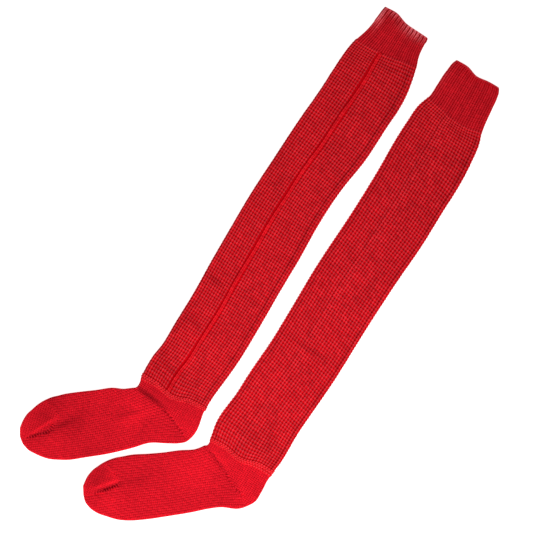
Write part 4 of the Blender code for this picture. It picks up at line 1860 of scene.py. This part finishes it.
@dataclass(kw_only=True)
class Leg(Stretch):
    """The leg: a thick tuck stitch, and one plain wale down each layer."""

    name: str = "leg"
    first: str = "cuff_base"
    last: str = "leg_end"
    slot: str = "tuck_knit"
    finish: YarnFinish = TUCK_YARN
    inset: float = 0.68
    spacing: float = 4.5
    fine: int = 168
    wale: float = 7.2
    course: float = 4.2
    # The tuck stitch: its pillars and its rung, with places in wales and heights above the cloth's reference
    yarn_radius: float = 1.27
    pillar_away: float = 0.25
    pillar_height: float = -0.85
    swell: float = 1.12
    neck: float = 0.86
    plain_neck: float = 0.95
    rung_height: float = -0.95
    rung_arch: float = 0.08
    first_before: float = 1.0
    # The plain wale: its number on each layer, its yarn, its painted light, and the rise below which it is knitted with
    # pillars
    plain_wale: int = 5
    plain_wale_under: int = 7
    plain_radius: float = 1.4
    plain_height: float = -1.1
    plain_spread: float = 0.15
    plain_light: float = 1.04
    faint_rise: float = 0.2
    # The raised courses at the heel: where each is from the leg's end, and their yarn
    last_rows: tuple = (-2.6, -0.1, 2.4)
    last_radius: float = 1.75
    last_length: float = 0.3
    last_height: float = -0.7
    last_droop: float = 0.6

    def tuck(self, name: str, neck: float, rung_height: float, upper: bool) -> StitchShape:
        """Two pillars with a rung across them.

        Args:
            name: the stitch's name.
            neck: how thick the pillars' ends are.
            rung_height: how high the rung stands.
            upper: whether it is on the layer that shows, where its yarn is rounder and its rung bows.

        Returns:
            The stitch.
        """
        away = self.pillar_away
        pillars = [
            Strand(pillar_path(place, self.pillar_height, self.swell, neck), 5 if upper else 3)
            for place in (-away, away)
        ]
        rung = rung_path(rung_height, self.rung_arch)
        return StitchShape(name, (*pillars, Strand(rung if upper else (rung[0], rung[2]), 3)), self.yarn_radius)

    def stitches(self, form: SockForm) -> list:
        """Pillars with rungs across on every wale but one, which has plain stitches.

        Args:
            form: the sock's form.

        Returns:
            The pieces.
        """
        chart = self.chart(form)
        chart.slant = form.lie.slant
        # The painted crown highlight fades between the pillars' swells
        chart.swells = 0.7
        chart.uneven = 0.13
        start, end = self.span(form)
        made = []
        for side in Side:
            upper = side is Side.UPPER
            centres = self.wales.centres(side)
            plain = self.plain_wale if upper else self.plain_wale_under
            chart.crown = 0.5
            shape = self.tuck("tuck_stitch", self.neck, self.rung_height, upper)
            places = chart.even_places(np.delete(centres, plain), start - self.first_before, end)
            made.append(self.knit(chart, f"tucks_{side.value}", shape, places, seed=11))
            rise = form.lie.plain_rise if upper else 0.0
            if upper and rise < self.faint_rise:
                shape = self.tuck("plain_wale_stitch", self.plain_neck, self.pillar_height, upper)
            else:
                shape = plain_shape(
                    "plain_wale_stitch", self.plain_radius, 5 if upper else 3, self.plain_height + rise,
                    self.plain_spread, upper, pinch=1.0, bulge=0.15, ends=0.95,
                )
                # A weaker painted crown highlight on the plain wale
                chart.crown = 0.85 + rise
            # Painted light on the plain wale of the layer that shows
            chart.light = self.plain_light if upper else 1.0
            # A plain wale that stands out wavers along the leg
            places = chart.even_places(centres[plain : plain + 1] + 0.1 * rise, start, end)
            places.across = places.across + rise * (np.sin(places.along / 37.0) + 0.7 * np.sin(places.along / 13.0))
            made.append(self.knit(chart, f"plain_wale_{side.value}", shape, places, seed=12, stray=0.1))
            chart.light = 1.0
            made.append(self.last_course(form, side, end))
        return made

    def last_course(self, form: SockForm, side: Side, end: float) -> bpy.types.Object:
        """The three raised courses where the leg meets the heel.

        Args:
            form: the sock's form.
            side: the layer.
            end: where the leg ends.

        Returns:
            The piece.
        """
        chart = self.chart(form)
        # A weak painted crown highlight, and painted light over the whole raised band
        chart.crown = 1.3
        chart.light = 1.2
        chart.step = 2.5
        chart.uneven = 0.08
        shape = bar_shape(
            "last_course_stitch", self.last_radius, self.last_length, self.last_height, self.last_droop, True
        )
        centres = self.wales.centres(side)
        # The middle course's stitches stand between those of the other two
        edges = (centres - 0.25, centres + 0.25)
        quarters = np.concatenate((*edges, centres, centres + 0.5, *edges))
        rows = np.repeat([end + row for row in self.last_rows], 2 * len(centres))
        places = Places.full(quarters * self.wale, rows)
        return self.knit(chart, f"last_course_{side.value}", shape, places, seed=13)


@dataclass(kw_only=True)
class FineStretch(Stretch):
    """A stretch of fine plain knit, with straight wales on each layer."""

    slot: str = "plain_knit"
    finish: YarnFinish = PLAIN_YARN
    inset: float = 0.68
    spacing: float = 2.5
    fine: int = 120
    wales: Wales = Wales(1, 1)
    wale: float = 3.1
    course: float = 2.4
    fold_fill: float = 0.5
    # How its wales run, its rows of eyelets, and its yarn with heights above the cloth's reference
    fan: Fan
    eyelets: tuple = ()
    fold_drop: float = 0.45
    yarn_radius: float = 0.86
    yarn_height: float = -0.95
    yarn_spread: float = 0.2
    bar_height: float = -0.75
    bar_droop: float = 0.5

    def stitches(self, form: SockForm) -> list:
        """Plain stitches between the fan's lines, and bars of yarn between the eyelets.

        Args:
            form: the sock's form.

        Returns:
            The pieces.
        """
        made = []
        for side in Side:
            chart = PlaneChart(form, side, self.wale, self.course)
            chart.fold_drop = self.fold_drop
            places = self.places(chart)
            open_at = np.zeros(len(places.across), dtype=bool)
            for row in form.lie.eyelets:
                open_at |= away_from_eyelets(places.flat, row) < row.gap
            shape = plain_shape(
                "fine_stitch", self.yarn_radius, 3, self.yarn_height, self.yarn_spread, side is Side.UPPER,
                pinch=0.95, bulge=0.04, ends=1.0,
            )
            knitted = places.kept(~open_at)
            made.append(self.knit(chart, f"stitches_{side.value}", shape, knitted, seed=21, stray=0.012, lean=0.006))
            for number, row in enumerate(self.eyelets):
                made.append(self.bars(form, side, row, number))
        return made

    def places(self, chart: PlaneChart) -> Places:
        """Where the plain stitches go."""
        return chart.fan_places(self.fan, *self.span(chart.form))

    def bars(self, form: SockForm, side: Side, row: Eyelets, number: int) -> bpy.types.Object:
        """The bars of yarn between the holes of one row of eyelets.

        Args:
            form: the sock's form.
            side: the layer.
            row: the eyelets.
            number: the row's number in this stretch.

        Returns:
            The piece.
        """
        chart = PlaneChart(form, side, 1.0, 1.0)
        chart.wandering = 0.0
        shape = bar_shape("eyelet_bar", row.radius, row.length, self.bar_height, self.bar_droop, False)
        place, way = line_places(row.line, np.linspace(row.first, row.last, row.bars))
        turn = np.arctan2(-way[:, 1], way[:, 0]) + np.pi / 2
        places = Places.full(place[:, 1], place[:, 0], turn)
        return self.knit(chart, f"bars_{number}_{side.value}", shape, places, seed=31, stray=0.15, lean=0.12)


@dataclass(kw_only=True)
class Toe(FineStretch):
    """The toe: the foot's wales run on under a pocket whose own wales turn across."""

    # The pocket's own wales: how far before it they start, how long they run, and between which lines
    pocket_before: float = 20.0
    pocket_reach: float = 110.0
    pocket_front: tuple = (-182.0, -158.0)
    pocket_back: tuple = (-110.0, -86.0)
    pocket_wales: int = 23

    def places(self, chart: PlaneChart) -> Places:
        """The foot's wales outside the pocket, and the pocket's own wales inside it.

        Args:
            chart: the chart that they are set out on.

        Returns:
            The places of the stitches.
        """
        corners = chart.form.lie.pocket
        top = min(down for down, _ in corners) - self.pocket_before
        downs = (top, top + self.pocket_reach)
        front, back = tuple(zip(downs, self.pocket_front)), tuple(zip(downs, self.pocket_back))
        sole = super().places(chart)
        pocket = chart.fan_places(Fan(front, back, self.pocket_wales, 0), *self.span(chart.form))
        pocket = pocket.kept(inside_patch(pocket.flat, corners))
        return sole.kept(~inside_patch(sole.flat, corners)).joined(pocket)


@dataclass
class Sock:
    """One whole sock, from its cuff to its toe."""

    lie: Lie

    def stretches(self) -> list:
        """The stretches that it is knitted in."""
        lie = self.lie
        thick = Wales(lie.wales_above, lie.wales_below, lie.first_wale)
        return [
            Cuff(wales=thick),
            Leg(wales=thick),
            FineStretch(name="heel", first="leg_end", last="gusset", fan=HEEL),
            FineStretch(name="foot", first="gusset", last="toe_start", fan=lie.foot, eyelets=(lie.gusset,)),
            Toe(
                name="toe", first="toe_start", last="toe_tip", hollow_last="toe_low", spacing=1.6, fan=lie.foot,
                eyelets=(lie.ladder,),
            ),
        ]

    def build(self) -> list:
        """Makes every stretch of the sock."""
        form = SockForm(self.lie)
        made = []
        for stretch in self.stretches():
            made.extend(stretch.build(form))
        return made


@dataclass
class Studio:
    """The pale floor, the soft light and the camera that looks straight down. Its sizes are in metres."""

    centre_x: float = 0.009
    centre_y: float = -0.0034
    frame_width: float = 0.68224
    camera_rise: float = 0.003
    lens: float = 200.0
    sensor: float = 36.0
    floor_size: float = 6.0
    floor_drop: float = 0.00025
    floor_grey: float = 0.55
    floor_glow: float = 0.85
    floor_roughness: float = 0.9
    sky: float = 0.45
    key_place: tuple = (-0.15, -1.1, 1.05)
    key_size: float = 0.6
    key_power: float = 18.6

    WHITE = (1.0, 1.0, 1.0, 1.0)

    def floor(self) -> bpy.types.Object:
        """A plain white floor just under the socks."""
        half = self.floor_size / 2
        mesh = bpy.data.meshes.new("floor")
        corners = [(-half, -half), (half, -half), (half, half), (-half, half)]
        mesh.from_pydata([(x, y, -self.floor_drop) for x, y in corners], [], [(0, 1, 2, 3)])
        material = bpy.data.materials.new("floor_white")
        material.use_nodes = True
        values = {
            "Base Color": (self.floor_grey, self.floor_grey, self.floor_grey, 1.0),
            "Emission Color": self.WHITE,
            "Emission Strength": self.floor_glow,
            "Roughness": self.floor_roughness,
            "Specular IOR Level": 0.0,
        }
        NodeDesk(material.node_tree).fill(material.node_tree.nodes["Principled BSDF"], values)
        mesh.materials.append(material)
        floor = placed("floor", mesh)
        floor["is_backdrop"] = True
        return floor

    def key_light(self) -> None:
        """A soft square light that faces the middle of the socks."""
        data = bpy.data.lights.new("key", "AREA")
        data.shape = "SQUARE"
        data.size = self.key_size
        data.energy = self.key_power
        lamp = placed("key", data)
        x, y, z = self.key_place
        lamp.location = self.key_place
        lamp.rotation_euler = (math.atan2(math.hypot(x, y), z), 0.0, math.atan2(x, -y))

    def camera(self) -> None:
        """The camera, straight above the socks."""
        data = bpy.data.cameras.new("camera")
        data.lens = self.lens
        data.sensor_width = self.sensor
        camera = placed("camera", data)
        height = self.lens / self.sensor * self.frame_width + self.camera_rise
        camera.location = (self.centre_x, self.centre_y, height)
        bpy.context.scene.camera = camera

    def build(self) -> None:
        """Sets the whole studio up."""
        self.floor()
        world = bpy.data.worlds.new("sky")
        world.use_nodes = True
        values = {"Color": self.WHITE, "Strength": self.sky}
        NodeDesk(world.node_tree).fill(world.node_tree.nodes["Background"], values)
        bpy.context.scene.world = world
        self.key_light()
        self.camera()
        bpy.context.scene.view_settings.view_transform = "Standard"


def write_sizes() -> None:
    """Reads the CAD box and the dressed box as lists of corners."""
    boxes = {"cad": CAD_BOX, "visual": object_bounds()}
    rows = {name: [list(corner) for corner in box] for name, box in boxes.items()}


def main() -> None:
    """Builds both socks and the studio, and reads the sizes."""
    logging.basicConfig(level=logging.INFO, format="%(message)s")
    for lie in SOCKS:
        pieces = Sock(lie).build()
        log.info("%s sock: %d pieces", lie.name, len(pieces))
    Studio().build()
    write_sizes()


if __name__ == "__main__":
    main()
